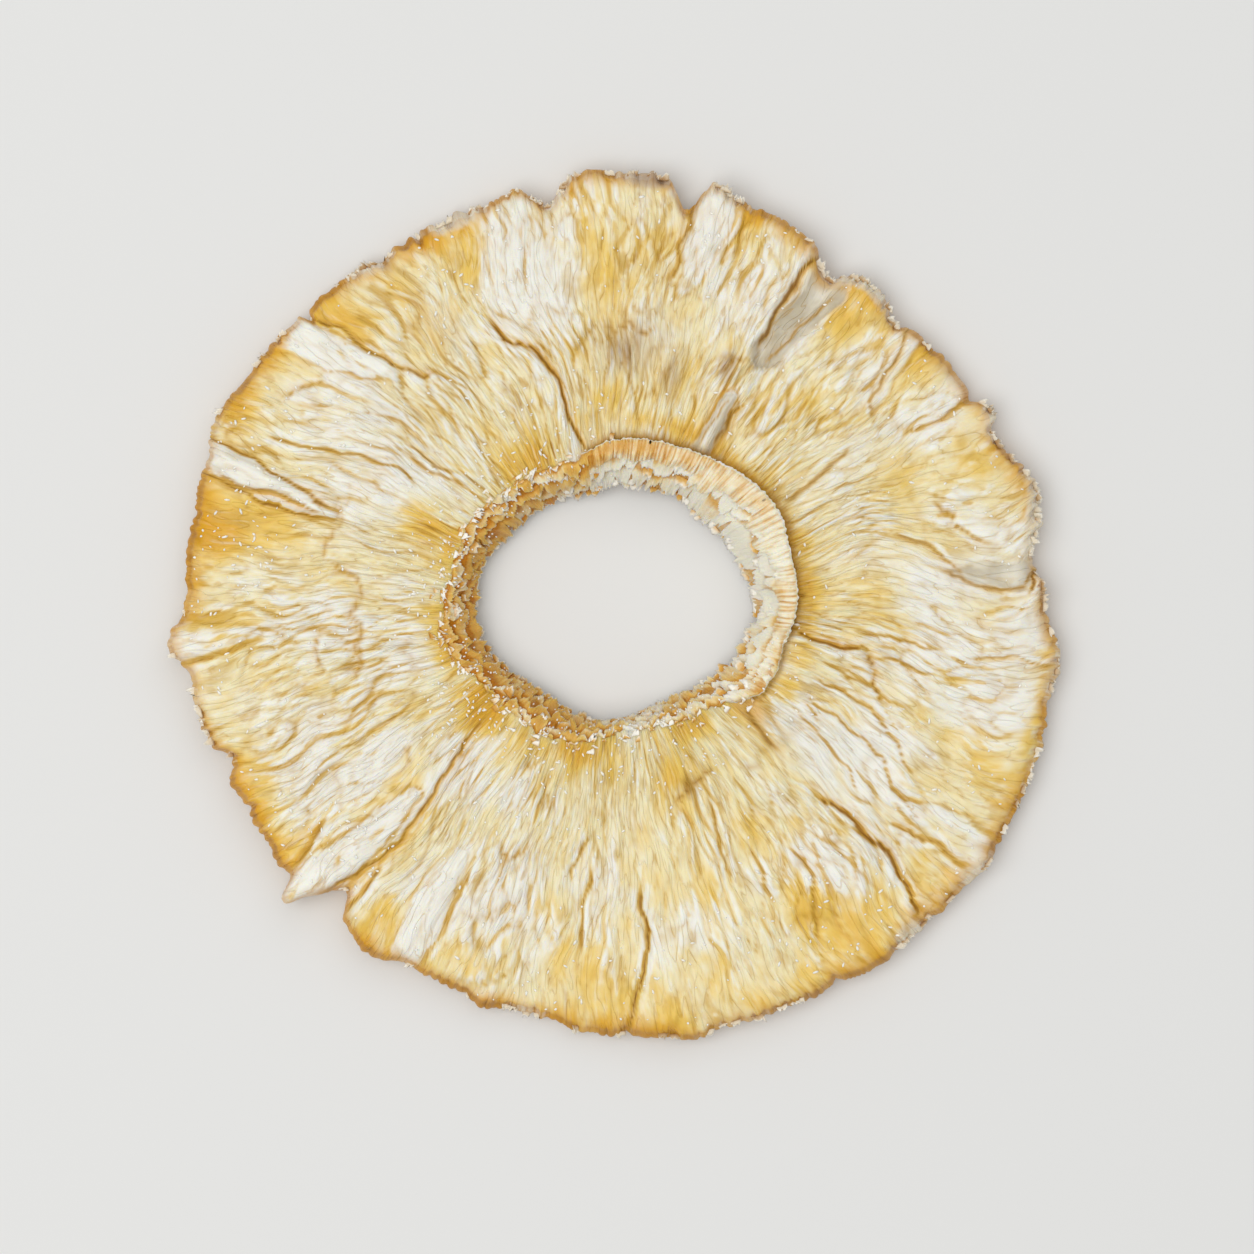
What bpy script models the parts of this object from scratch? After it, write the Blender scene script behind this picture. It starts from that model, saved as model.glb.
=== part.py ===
"""A dried pineapple ring: one piece of fruit, lying flat, with its core hole in the middle.

The ring is made as a plain washer, spun from a small section, and then formed: every point of
the washer has a share across the ring (0 at the hole, 1 at the rim) and a share up through the
slice (0 underneath, 1 on top), and functions of the angle say how far out, how high and how
deep that point of the real slice lies. Angles are in degrees, anticlockwise from +X.
"""

import math

import bmesh
import bpy
import numpy as np

MM = 0.001

# Overall sizes, in millimetres
FLESH_TOP = 4.7  # height of the flesh's upper face above the table
CORE_TOP = 5.7  # height of the edge of the core where it lies flush with the flesh
COLLAR_RISE = 1.6  # how much higher that edge stands where the core has curled up as a collar
UNDER_LIFT = 1.0  # how far most of the underside has curled off the table
WALL_FOOT = 0.5  # height of the core wall's foot above the underside

# Radii of three edges, evenly spaced round the ring and starting at +X
RIM_RADII = (41.0, 41.0, 39.2, 38.5, 39.1, 40.3, 41.0, 40.1, 39.9, 40.4, 41.2, 41.0,
             40.9, 40.9, 40.1, 40.0, 39.6, 39.9, 41.1, 41.6, 41.9, 42.6, 42.9, 42.4)
CORE_RADII = (17.2, 17.2, 17.7, 17.1, 16.2, 15.8, 15.4, 14.2, 14.2, 14.9, 15.6, 15.6,
              16.2, 16.4, 14.7, 14.2, 14.2, 13.6, 12.2, 12.2, 12.8, 13.6, 16.3, 16.4)
HOLE_RADII = (13.1, 12.3, 11.7, 11.2, 11.5, 11.1, 11.0, 10.6, 11.2, 11.5, 12.0, 13.1,
              13.2, 12.9, 12.0, 11.0, 10.9, 11.1, 10.9, 10.5, 10.4, 11.0, 11.9, 12.8)

# Lobes (outward) and notches (inward) of the rim: angle, reach, half width in degrees
RIM_LOBES = (
    (6.5, -1.2, 3.0), (15.5, 0.7, 2.0), (22.5, -0.5, 2.5), (27.4, 0.8, 1.5), (35, 0.4, 3.5),
    (44.6, -0.9, 1.6), (51, 0.4, 2.2), (57, -1.8, 2.6), (75.8, 0.6, 1.4), (79.8, -2.4, 1.9),
    (93, 0.4, 1.5), (99.6, -1.9, 2.4), (103.4, 0.4, 1.3), (124, -0.4, 1.5), (155.2, 0.8, 2.5),
    (178.5, -0.4, 1.2), (185.2, 1.7, 2.6), (202, -1.3, 2.0), (217.5, 0.3, 2.0),
    (221.9, 2.4, 1.3), (226.8, -2.5, 1.9), (234.5, 1.0, 3.4), (251.4, 0.7, 2.0),
    (261.5, -0.4, 1.6), (280.4, 0.7, 2.3), (306, 0.4, 3.0), (325, 0.5, 1.4), (353, 1.0, 3.6),
)

# The core is curled up into a collar between these two angles, and lies flush elsewhere
COLLAR_FROM, COLLAR_TO, COLLAR_FADE = -36, 101, 12
GROOVE_DEPTH, GROOVE_WIDTH, GROOVE_OFFSET = 1.1, 0.55, 0.75
RISE_DEPTH, RISE_WIDTH = 0.8, 4.0  # the flesh climbs this much to the flush part of the core

# Long slow waves of the dried slice: how many round the ring, height, angle of a crest
TOP_WAVES = ((2, 0.30, 20), (3, 0.25, 75), (5, 0.30, 10), (8, 0.18, 330))
UNDER_WAVES = ((3, 0.45, 200), (4, 0.30, 250), (7, 0.20, 30))

# Places where the underside comes down to the table: angle, radius, half width in millimetres
FEET = ((28, 27, 7.5), (98, 29, 7.0), (162, 26, 7.5), (232, 30, 7.0), (305, 28, 7.5))
FOOT_PRESS = 2.6  # how far a foot would sink below the table if the table didn't stop it

# Seams between lobes, where one lobe has dried over the next. Each runs through points given as
# angle and radius; depth, half width, then how far its anticlockwise side stands above the other
SEAMS = (
    (((99, 13.6), (101.5, 15), (103, 17), (104, 19.5), (104.7, 22), (104.2, 23.6)), 0.9, 0.6, 0.5),
    (((351.8, 16.9), (350.2, 18), (348.8, 19.5), (348.6, 21), (349.6, 22.6), (349.9, 24)), 0.9, 0.6, -0.6),
    (((316.4, 26.3), (317.7, 31), (317.6, 34.5), (316.8, 36.5), (315.6, 39), (314, 42)), 1.0, 0.6, -0.5),
    (((305.2, 28), (306.3, 30), (305.8, 32), (303.5, 34.2), (300.8, 36.2)), 0.45, 0.5, -0.3),
    (((274.8, 27), (275.4, 31.5), (274.4, 35), (272.4, 38.6), (271.8, 41)), 0.7, 0.5, 0.1),
    (((162.9, 28.6), (162.1, 33), (162.6, 36), (161.8, 38.5), (159.5, 41)), 0.6, 0.5, -0.6),
    (((130.2, 27.7), (131.7, 29.3), (134, 35), (135.4, 38), (136.9, 40.4)), 0.6, 0.5, 0.35),
    (((79.2, 39), (78.9, 36.5), (79.5, 34), (80, 31)), 0.5, 0.5, -0.3),
    (((59.7, 39), (60.5, 36), (61, 33), (61.2, 30), (60.6, 27.5)), 1.0, 0.6, 0.9),
    (((39.5, 31), (40, 33), (41, 35.5), (42.3, 37.5), (43.2, 39)), 0.5, 0.5, 0.35),
    (((228.4, 38.5), (228.7, 36), (228.5, 34), (227.6, 33)), 0.6, 0.5, 0.4),
    (((225.2, 38.3), (225.9, 36.5), (226.6, 34.5), (227.5, 32.9)), 0.6, 0.5, -0.5),
)
SEAM_REACH = 2.2  # how far from a seam its raised side has sunk back to the flesh

# The washer's section: shares across on top and underneath, and shares up the two walls
STEPS_ROUND = 208
TOP_SHARES = (0, 0.012, 0.03, 0.06, 0.13, 0.26, 0.41, 0.56, 0.71, 0.84, 0.94)
UNDER_SHARES = (0.92, 0.72, 0.48, 0.24, 0.06)
WALL_SHARES = (0.06, 0.28, 0.52, 0.78)
RIM_SHARES = (0.90, 0.5, 0.10)
RIM_BULGE = 0.55  # how far the rim's middle stands out past its two edges
BLANK_HOLE, BLANK_RIM = 1.0, 2.0  # the washer's two radii before it is formed


def around(values, angle):
    """A smooth closed curve through values spaced evenly round the ring, read at angle."""
    place = np.asarray(angle) / 360 * len(values)
    index = np.floor(place).astype(int)
    t = place - index
    before, here, there, after = (np.take(values, index + k, mode="wrap") for k in (-1, 0, 1, 2))
    cubic = 3 * (here - there) + after - before
    square = 2 * before - 5 * here + 4 * there - after
    return here + 0.5 * t * (there - before + t * (square + t * cubic))


def turn(angle, centre):
    """The angle from centre, from -180 to 180."""
    return (np.asarray(angle) - centre + 180) % 360 - 180


def smooth(t):
    """0 below 0, 1 above 1, and a smooth step between."""
    t = np.clip(t, 0, 1)
    return t * t * (3 - 2 * t)


def rim_radius(angle):
    radius = around(RIM_RADII, angle)
    for centre, reach, half_width in RIM_LOBES:
        radius = radius + reach * np.exp(-np.abs(turn(angle, centre) / half_width) ** 2.5)
    return radius


def collar(angle):
    """1 where the core has curled up as a collar, 0 where it lies flush."""
    middle, half = (COLLAR_FROM + COLLAR_TO) / 2, (COLLAR_TO - COLLAR_FROM) / 2
    return smooth((half - np.abs(turn(angle, middle))) / COLLAR_FADE + 0.5)


def waves(angle, terms):
    return sum(height * np.cos(np.radians(count * turn(angle, crest))) for count, height, crest in terms)


def at(angle, radius):
    """x and y of a place given by angle and radius."""
    return radius * np.cos(np.radians(angle)), radius * np.sin(np.radians(angle))


def seam_relief(angle, radius):
    """Height that the seams add to or take from the top at these places."""
    x, y = at(angle, radius)
    relief = np.zeros_like(x)
    for route, depth, half_width, overlap in SEAMS:
        nearest, side = np.full(x.shape, np.inf), np.ones(x.shape)
        for (angle_a, radius_a), (angle_b, radius_b) in zip(route, route[1:]):
            (ax, ay), (bx, by) = at(angle_a, radius_a), at(angle_b, radius_b)
            dx, dy = bx - ax, by - ay
            along = np.clip(((x - ax) * dx + (y - ay) * dy) / (dx * dx + dy * dy), 0, 1)
            away = np.hypot(x - ax - along * dx, y - ay - along * dy)
            outward = 1 if radius_b > radius_a else -1
            left = np.sign(dx * (y - ay) - dy * (x - ax)) * outward
            side = np.where(away < nearest, left, side)
            nearest = np.minimum(nearest, away)
        raised = np.where(side * overlap > 0, abs(overlap), 0) * np.exp(-nearest / SEAM_REACH)
        relief = relief + raised - depth * np.exp(-((nearest / half_width) ** 2))
    return relief


def top_height(angle, radius):
    """Height of the upper face: the flesh, its seams, and the core's edge with its groove."""
    core = around(CORE_RADII, angle)
    out = radius - core
    across = np.clip(out / (rim_radius(angle) - core), 0, 1)
    flesh = FLESH_TOP + waves(angle, TOP_WAVES) * across ** 0.6 - 0.5 * across ** 3
    flesh = flesh + seam_relief(angle, radius) * smooth(out / 1.5)
    flush = flesh + RISE_DEPTH * np.exp(-((out / RISE_WIDTH) ** 2))
    grooved = flesh - GROOVE_DEPTH * np.exp(-(((out - GROOVE_OFFSET) / GROOVE_WIDTH) ** 2))
    share = collar(angle)
    flesh = flush + (grooved - flush) * share
    edge = CORE_TOP + COLLAR_RISE * share
    return flesh + (edge - flesh) * np.exp(-((out / 0.35) ** 2))


def under_height(angle, radius):
    """Height of the underside: curled off the table, and flat where a foot rests on it."""
    x, y = at(angle, radius)
    lift = UNDER_LIFT + waves(angle, UNDER_WAVES)
    for foot_angle, foot_radius, half_width in FEET:
        foot_x, foot_y = at(foot_angle, foot_radius)
        away = np.hypot(x - foot_x, y - foot_y)
        lift = lift - FOOT_PRESS * np.exp(-((away / half_width) ** 2))
    return np.maximum(lift, 0)


def formed(angle, across, up):
    """The ring's own x, y and z, in millimetres, for a point of the washer."""
    core, hole, rim = around(CORE_RADII, angle), around(HOLE_RADII, angle), rim_radius(angle)
    top_radius = core + across * (rim - RIM_BULGE - core)
    under_radius = hole + across * (rim - RIM_BULGE - hole)
    low, high = under_height(angle, under_radius), top_height(angle, top_radius)
    low = low + WALL_FOOT * (1 - smooth(across / 0.1))
    bend = 1 + 1.2 * collar(angle) * (across == 0)  # the collar's wall is rounded, the rest is straight
    radius = under_radius + (top_radius - under_radius) * up ** bend
    radius = radius + RIM_BULGE * 4 * up * (1 - up) * (across == 1)
    x, y = at(angle, radius)
    return x, y, low + (high - low) * up


def washer():
    """A washer of unit thickness, spun from its section. Its radii are shares across, its heights shares up."""
    section = [(0, up) for up in WALL_SHARES] + [(across, 1) for across in TOP_SHARES]
    section += [(1, up) for up in RIM_SHARES] + [(across, 0) for across in UNDER_SHARES]
    bm = bmesh.new()
    corners = [
        bm.verts.new((BLANK_HOLE + across * (BLANK_RIM - BLANK_HOLE), 0, up)) for across, up in section
    ]
    loop = [bm.edges.new((a, b)) for a, b in zip(corners, corners[1:] + corners[:1])]
    bmesh.ops.spin(
        bm, geom=corners + loop, cent=(0, 0, 0), axis=(0, 0, 1),
        angle=2 * math.pi, steps=STEPS_ROUND, use_merge=True,
    )
    bmesh.ops.remove_doubles(bm, verts=bm.verts, dist=1e-5)
    return bm


def form(bm):
    """Moves every point of the washer to its place in the ring, centred over its resting plane."""
    blank = np.array([v.co for v in bm.verts])
    angle = np.degrees(np.arctan2(blank[:, 1], blank[:, 0]))
    across = np.hypot(blank[:, 0], blank[:, 1]) - BLANK_HOLE
    across = np.round(across / (BLANK_RIM - BLANK_HOLE), 4)
    x, y, z = formed(angle, across, np.clip(np.round(blank[:, 2], 4), 0, 1))
    x, y = x - (x.min() + x.max()) / 2, y - (y.min() + y.max()) / 2
    for vert, place in zip(bm.verts, np.column_stack((x, y, z - z.min())) * MM):
        vert.co = place


def flesh_material():
    material = bpy.data.materials.new("dried_flesh")
    material.use_nodes = True
    shader = material.node_tree.nodes["Principled BSDF"]
    shader.inputs["Base Color"].default_value = (0.80, 0.64, 0.33, 1)
    shader.inputs["Roughness"].default_value = 0.55
    shader.inputs["Metallic"].default_value = 0
    return material


def pineapple_ring():
    bm = washer()
    form(bm)
    bmesh.ops.triangulate(bm, faces=bm.faces)
    bmesh.ops.recalc_face_normals(bm, faces=bm.faces)
    mesh = bpy.data.meshes.new("pineapple_ring")
    bm.to_mesh(mesh)
    bm.free()
    mesh.shade_smooth()
    mesh.materials.append(flesh_material())
    ring = bpy.data.objects.new("pineapple_ring", mesh)
    bpy.context.scene.collection.objects.link(ring)
    return ring


def main():
    for obj in list(bpy.data.objects):
        bpy.data.objects.remove(obj)
    pineapple_ring()


main()
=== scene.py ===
"""The looks of a dried pineapple ring: wrinkled flesh, the frayed core round its hole, and a crinkled rim.

Shapes are worked out in millimetres and degrees, anticlockwise from +X, and turned into metres
when a piece is made. A place on the slice is given by its angle and by its share across the
slice, 0 at the core's edge and 1 at the rim.
"""

import math

import bmesh
import bpy
import numpy as np
from mathutils import Matrix, Vector


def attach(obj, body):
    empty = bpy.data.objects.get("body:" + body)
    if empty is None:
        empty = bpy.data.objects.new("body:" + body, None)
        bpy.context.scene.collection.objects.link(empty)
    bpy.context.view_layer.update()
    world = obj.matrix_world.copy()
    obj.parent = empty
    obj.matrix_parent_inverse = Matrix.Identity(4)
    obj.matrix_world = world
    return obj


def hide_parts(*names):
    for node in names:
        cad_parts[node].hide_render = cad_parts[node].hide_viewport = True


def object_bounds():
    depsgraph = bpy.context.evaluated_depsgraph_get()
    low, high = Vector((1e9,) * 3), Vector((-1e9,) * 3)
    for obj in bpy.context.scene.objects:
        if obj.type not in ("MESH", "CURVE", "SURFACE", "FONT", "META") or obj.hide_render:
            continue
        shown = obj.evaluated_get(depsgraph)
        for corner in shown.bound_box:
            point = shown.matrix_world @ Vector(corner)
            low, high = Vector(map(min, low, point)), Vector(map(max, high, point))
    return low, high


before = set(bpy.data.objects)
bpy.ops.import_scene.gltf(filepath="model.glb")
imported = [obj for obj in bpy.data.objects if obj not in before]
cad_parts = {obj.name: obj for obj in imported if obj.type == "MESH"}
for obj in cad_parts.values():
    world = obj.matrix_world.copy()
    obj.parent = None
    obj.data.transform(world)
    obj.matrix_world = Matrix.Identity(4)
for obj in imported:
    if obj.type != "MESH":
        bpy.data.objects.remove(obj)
cad_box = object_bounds()

MM = 0.001

# ---------------------------------------------------------------- sizes, as in the solid part

FLESH_TOP = 4.7  # height of the upper face
CORE_TOP = 5.7  # height of the core's edge where it lies flush
COLLAR_RISE = 1.6  # the collar's extra height
UNDER_LIFT = 1.0  # how far the underside has curled off the table
WALL_FOOT = 0.5  # height of the core wall's foot above the underside
CENTRE = (0.078, 0.151)  # the middle of the angles and radii below, in the part's own frame

RIM_RADII = (41.0, 41.0, 39.2, 38.5, 39.1, 40.3, 41.0, 40.1, 39.9, 40.4, 41.2, 41.0,
             40.9, 40.9, 40.1, 40.0, 39.6, 39.9, 41.1, 41.6, 41.9, 42.6, 42.9, 42.4)
CORE_RADII = (17.2, 17.2, 17.7, 17.1, 16.2, 15.8, 15.4, 14.2, 14.2, 14.9, 15.6, 15.6,
              16.2, 16.4, 14.7, 14.2, 14.2, 13.6, 12.2, 12.2, 12.8, 13.6, 16.3, 16.4)
HOLE_RADII = (13.1, 12.3, 11.7, 11.2, 11.5, 11.1, 11.0, 10.6, 11.2, 11.5, 12.0, 13.1,
              13.2, 12.9, 12.0, 11.0, 10.9, 11.1, 10.9, 10.5, 10.4, 11.0, 11.9, 12.8)
RIM_LOBES = (
    (6.5, -1.2, 3.0), (15.5, 0.7, 2.0), (22.5, -0.5, 2.5), (27.4, 0.8, 1.5), (30, -0.4, 0.8),
    (35, 0.4, 3.5), (44.6, -0.9, 1.6), (51, 0.4, 2.2), (57, -1.8, 2.6), (70.6, -0.4, 0.8),
    (75.8, 0.6, 1.4), (79.8, -2.4, 1.9), (93, 0.4, 1.5), (99.6, -1.9, 2.4), (103.4, 0.4, 1.3),
    (108.2, -0.3, 0.6), (118.3, -0.7, 0.5), (124, -0.4, 1.5), (137, -0.9, 0.5), (155.2, 0.8, 2.5),
    (178.5, -0.4, 1.2), (185.2, 1.7, 2.6), (202, -1.3, 2.0), (209.2, -0.4, 0.6),
    (217.5, 0.3, 2.0), (221.9, 2.4, 1.3), (226.8, -2.5, 1.9), (234.5, 1.0, 3.4),
    (251.4, 0.7, 2.0), (261.5, -0.4, 1.6), (271.6, -0.4, 0.6), (280.4, 0.7, 2.3),
    (300.5, -0.4, 0.6), (306, 0.4, 3.0), (315.2, -0.5, 0.6), (325, 0.5, 1.4), (353, 1.0, 3.6),
)
COLLAR_FROM, COLLAR_TO, COLLAR_FADE = -36, 101, 12
GROOVE_DEPTH, GROOVE_WIDTH, GROOVE_OFFSET = 0.8, 0.4, 0.4
RIM_BULGE = 0.55  # how far the rim's middle stands out past its upper and lower edge
RIM_ROLL = 1.3  # how far in from the rim the upper face begins to roll over
RISE_DEPTH, RISE_WIDTH = 0.8, 4.0
TOP_WAVES = ((2, 0.30, 20), (3, 0.25, 75), (5, 0.30, 10), (8, 0.18, 330))
UNDER_WAVES = ((3, 0.45, 200), (4, 0.30, 250), (7, 0.20, 30))
FEET = ((28, 27, 7.5), (98, 29, 7.0), (162, 26, 7.5), (232, 30, 7.0), (305, 28, 7.5))
FOOT_PRESS = 2.6

# ---------------------------------------------------------------- the flesh's own marks

# How the fibres lean from radial: angle, radius, half widths in degrees and mm, degrees per mm
LEANS = (
    (330, 27, 14, 9, -0.60), (10, 30, 9, 6, -1.1), (110, 27, 8, 5, 0.8), (134, 33, 8, 6, 0.5),
    (151, 31, 6, 7, 0.5), (223, 21, 6, 6, 0.5), (294, 24, 8, 5, -0.35), (303, 33, 5, 4, -0.6),
    (315, 38, 6, 5, -0.6), (57, 31, 4, 6, -0.3), (352, 28, 9, 9, -0.35), (185, 30, 12, 8, 0.25),
)

# Folds and creases: depth, half width, how far the side on the left of the route stands above
# the other (below it if negative), and the route outwards or round, as angle and radius
FOLDS = (
    (0.9, 0.35, 0.55, ((101.5, 14.5), (102.5, 16), (103.5, 18), (104.3, 20), (104.5, 22.5),
                       (106.5, 24), (108, 25.5), (111.5, 26.3), (113, 28), (114.5, 29.5))),
    (0.4, 0.3, 0.0, ((101.5, 24.2), (104, 23.8), (106.5, 24))),
    (1.0, 0.4, 0.9, ((60.6, 27.5), (61.2, 30), (61, 33), (60.5, 36), (59.7, 39))),
    (0.4, 0.4, -0.4, ((58, 26.6), (55.8, 31), (54.6, 36))),
    (0.3, 0.5, -0.3, ((60, 26.2), (64, 25.6), (68, 25.9))),
    (0.6, 0.35, 0.4, ((58.6, 17), (58.2, 20), (57.4, 23))),
    (0.3, 0.25, -0.4, ((62.6, 16.3), (61.8, 19), (60.4, 22.4))),
    (0.6, 0.4, -0.35, ((80, 30.5), (79.5, 34), (78.9, 36.5), (79.2, 39))),
    (0.3, 0.3, 0.3, ((72.5, 33), (72, 36), (71.3, 39.5))),
    (0.35, 0.5, 0.2, ((81, 26.4), (84, 25.6), (87, 26.6), (90, 25.7), (93, 26.3))),
    (0.4, 0.4, 0.3, ((31, 31.5), (29.6, 35), (30.2, 39))),
    (0.5, 0.35, 0.4, ((35, 30), (38.5, 31), (40.5, 34), (42.6, 37), (43.6, 38.8))),
    (0.4, 0.5, 0.0, ((30.5, 18.5), (31.5, 22), (33.5, 27))),
    (0.4, 0.4, 0.3, ((18, 31.5), (13, 33), (9, 36))),
    (0.4, 0.4, 0.3, ((14, 27), (11, 30), (4, 33))),
    (0.5, 0.35, 0.35, ((5.8, 30.7), (3.5, 33.5), (1.8, 36.5), (2.3, 38.9), (5.5, 39.6))),
    (0.6, 0.35, 0.4, ((127, 27.7), (130, 28), (132.5, 30), (133.8, 33), (135, 37), (137, 40))),
    (0.5, 0.35, 0.0, ((149.5, 22), (148, 24.3), (148.5, 25.5), (150.5, 28), (152, 31), (154.5, 36.5))),
    (0.4, 0.3, 0.2, ((140, 19), (142.5, 21), (142.5, 25))),
    (0.4, 0.35, -0.2, ((142, 17.5), (144.2, 22), (144, 24.5))),
    (0.4, 0.35, 0.3, ((141, 34.8), (143, 34.7), (145.5, 36), (149, 37))),
    (0.5, 0.35, -0.6, ((162.9, 28.6), (162.5, 31), (162.2, 34), (162.7, 37), (161.6, 39.5))),
    (0.2, 0.6, 0.3, ((157.5, 26.7), (161, 27.4), (165, 27.2), (169, 27.9), (172, 27.5))),
    (0.25, 0.6, 0.35, ((171, 27), (174, 24.8), (178, 24), (182, 24.8), (185, 24), (189, 24.9),
                         (193.5, 24.5), (197, 26))),
    (0.2, 0.6, 0.3, ((185, 28), (190, 28.8), (194, 28.2))),
    (0.4, 0.3, 0.3, ((186.7, 35), (187.6, 38), (187.9, 41))),
    (0.3, 0.3, -0.3, ((181.2, 36), (181.6, 39), (181.4, 41))),
    (0.6, 0.35, -0.5, ((221, 16.3), (223, 19), (225.3, 23), (226.5, 26), (227.8, 30), (227.5, 33),
                       (226.5, 34.5), (225.6, 37), (225.2, 39))),
    (0.6, 0.35, 0.45, ((227.6, 33), (228.5, 34), (228.7, 36), (228.4, 38.8))),
    (0.5, 0.4, 0.5, ((216.5, 34), (218.5, 37), (219.3, 40.4))),
    (0.2, 0.6, 0.25, ((213, 24.4), (215, 23.8), (219, 24.8))),
    (0.3, 0.3, 0.3, ((241.5, 28), (242.5, 32), (242.5, 36))),
    (0.4, 0.45, -0.3, ((244, 25.3), (247, 26), (251, 24.8))),
    (0.5, 0.3, 0.2, ((265, 25), (264.2, 29), (264.5, 33.5))),
    (0.45, 0.3, 0.2, ((261, 26.7), (260.3, 25.5), (261.5, 24), (263.5, 22.5))),
    (0.8, 0.35, 0.2, ((274.8, 27), (275.4, 31.5), (274.8, 35), (272.5, 38), (271.8, 41))),
    (0.4, 0.3, 0.1, ((295.5, 20), (294.5, 23), (293.5, 26), (292.5, 28))),
    (0.4, 0.3, 0.15, ((299, 26), (299, 28), (298, 32))),
    (0.4, 0.6, 0.1, ((285, 20), (290, 19), (296, 18.3), (302, 18))),
    (0.5, 0.35, -0.35, ((305.2, 28), (306.3, 30), (305.8, 32), (303.2, 34.2), (300.8, 37.5))),
    (1.0, 0.4, -0.55, ((316.3, 26.3), (317.7, 31), (317.6, 34.5), (316.8, 36.5), (315.6, 39), (314, 41.6))),
    (0.5, 0.35, -0.35, ((320.5, 32.8), (321.5, 34), (323.2, 38), (323, 42))),
    (0.6, 0.6, 0.0, ((323, 15.5), (319, 17.5), (318, 21))),
    (0.4, 0.3, -0.2, ((334, 20), (333, 23), (331, 27), (329.5, 29.5), (327, 31), (325, 34))),
    (0.4, 0.3, -0.2, ((340, 20), (338.5, 24), (336, 27.5), (333, 30), (330, 32.5))),
    (0.35, 0.3, 0.2, ((329, 20), (327.5, 23), (324.5, 27), (322, 29))),
    (0.35, 0.3, -0.2, ((344, 21), (342, 25), (340.5, 28))),
    (0.9, 0.35, -0.7, ((351.8, 16.9), (350.2, 18), (348.8, 19.5), (348.6, 21), (349.6, 22.6), (349.9, 24.2))),
    (0.7, 0.4, 0.5, ((339, 27), (343, 25.2), (347, 24.7), (349.9, 24.2))),
    (0.4, 0.3, 0.2, ((348.3, 25), (348.5, 27), (347.5, 31))),
    (0.4, 0.3, -0.2, ((353, 23), (353, 26), (351.5, 31))),
    (0.35, 0.3, 0.3, ((351.5, 34), (352.2, 38), (351.4, 42))),
    (1.0, 0.3, -0.6, ((1.0, 39.2), (2.4, 39.7), (4.0, 39.6), (5.6, 39.2))),
)
FOLD_REACH = 2.0

# Lobes with a sharp outline, which stand above the flesh or lie sunk in it: height, whiteness,
# greyness, and the route of the middle as angle, radius and half width
LOBES = (
    (-0.5, 0.3, 1.0, ((58.8, 27.3, 1.5), (57.4, 31.5, 1.75), (55.9, 36.0, 1.8))),
    (0.8, 0.4, 0.8, ((61.3, 15.6, 0.95), (60.4, 19.5, 0.85), (61.0, 22.5, 0.45))),
    (-0.3, 0.0, 0.9, ((4.6, 32.0, 0.5), (4.8, 35.0, 1.2), (3.8, 38.4, 1.5))),
    (-0.15, 0.5, 0.5, ((356.8, 33.6, 0.5), (356.7, 37, 1.2), (356.4, 41.2, 1.4))),
    (0.8, 1.0, 0.0, ((159.8, 41.4, 1.5), (160.8, 36.5, 1.5), (162.0, 32, 1.1), (163.0, 28.2, 0.3))),
    (0.45, 0.6, 0.0, ((222.0, 42.0, 1.0), (222.6, 37, 1.9), (223.5, 32, 1.6), (223.5, 26, 0.6))),
    (0.35, 0.7, 0.2, ((75.4, 39.0, 1.7), (76.2, 34.5, 1.5), (77.5, 30, 0.5))),
    (0.25, 0.7, 0.0, ((239.3, 38.5, 1.7), (238.6, 33, 1.7), (238.5, 28, 0.5))),
    (0.35, 0.7, 0.0, ((140.3, 40.0, 1.8), (138, 35, 1.5), (134, 30, 0.6))),
    (0.4, 0.2, 0.5, ((42.4, 38.8, 0.9), (40, 34, 0.8), (37, 30.5, 0.4))),
    (0.35, 0.4, 0.0, ((185.2, 42.2, 1.8), (185, 38, 1.4), (184.5, 34, 0.5))),
    (0.35, 0.2, 0.0, ((325.5, 42.0, 1.9), (326, 37, 1.6), (325, 33, 0.5))),
    (0.35, 0.0, 0.0, ((308.5, 41.0, 2.6), (309, 36, 2.2), (310.5, 30, 0.6))),
    (0.2, 0.0, 0.0, ((268, 41.0, 1.8), (268.5, 36, 1.4), (269.5, 31, 0.5))),
    (0.2, 0.2, 0.0, ((104, 40.0, 2.2), (106, 36, 1.8), (107.5, 31, 0.5))),
    (0.15, 0.1, 0.0, ((346, 41.0, 2.6), (345, 37, 2.2), (345, 33, 0.6))),
    (0.2, 0.0, 0.0, ((21, 39.6, 2.2), (19, 36, 1.8), (17, 33, 0.5))),
    (0.2, 0.2, 0.0, ((8.5, 39.4, 1.6), (10.5, 35.5, 1.4), (14, 31.5, 0.5))),
    (0.15, 0.0, 0.0, ((211, 40.0, 2.4), (209, 36, 1.9), (207.5, 32, 0.5))),
    (0.2, 0.0, 0.0, ((50, 38.4, 2.0), (47.5, 34, 1.8), (45, 29, 0.6))),
    (0.15, 0.1, 0.0, ((291, 41.5, 2.4), (289, 36, 2.0), (288, 30, 0.7))),
    (0.15, 0.1, 0.0, ((250, 39.8, 2.4), (249, 35, 2.0), (248.5, 30, 0.6))),
    (0.15, 0.1, 0.0, ((117, 39.0, 1.8), (119, 35, 1.5), (121, 31, 0.5))),
    (0.15, 0.1, 0.0, ((196, 40.0, 2.6), (197, 36, 2.2), (198, 31, 0.6))),
    (0.15, 0.1, 0.0, ((88, 40.6, 2.0), (88, 36, 1.8), (88.5, 31, 0.5))),
    (0.15, 0.1, 0.0, ((66, 39.6, 2.0), (65.5, 35, 1.8), (65.5, 30, 0.5))),
)

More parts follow.
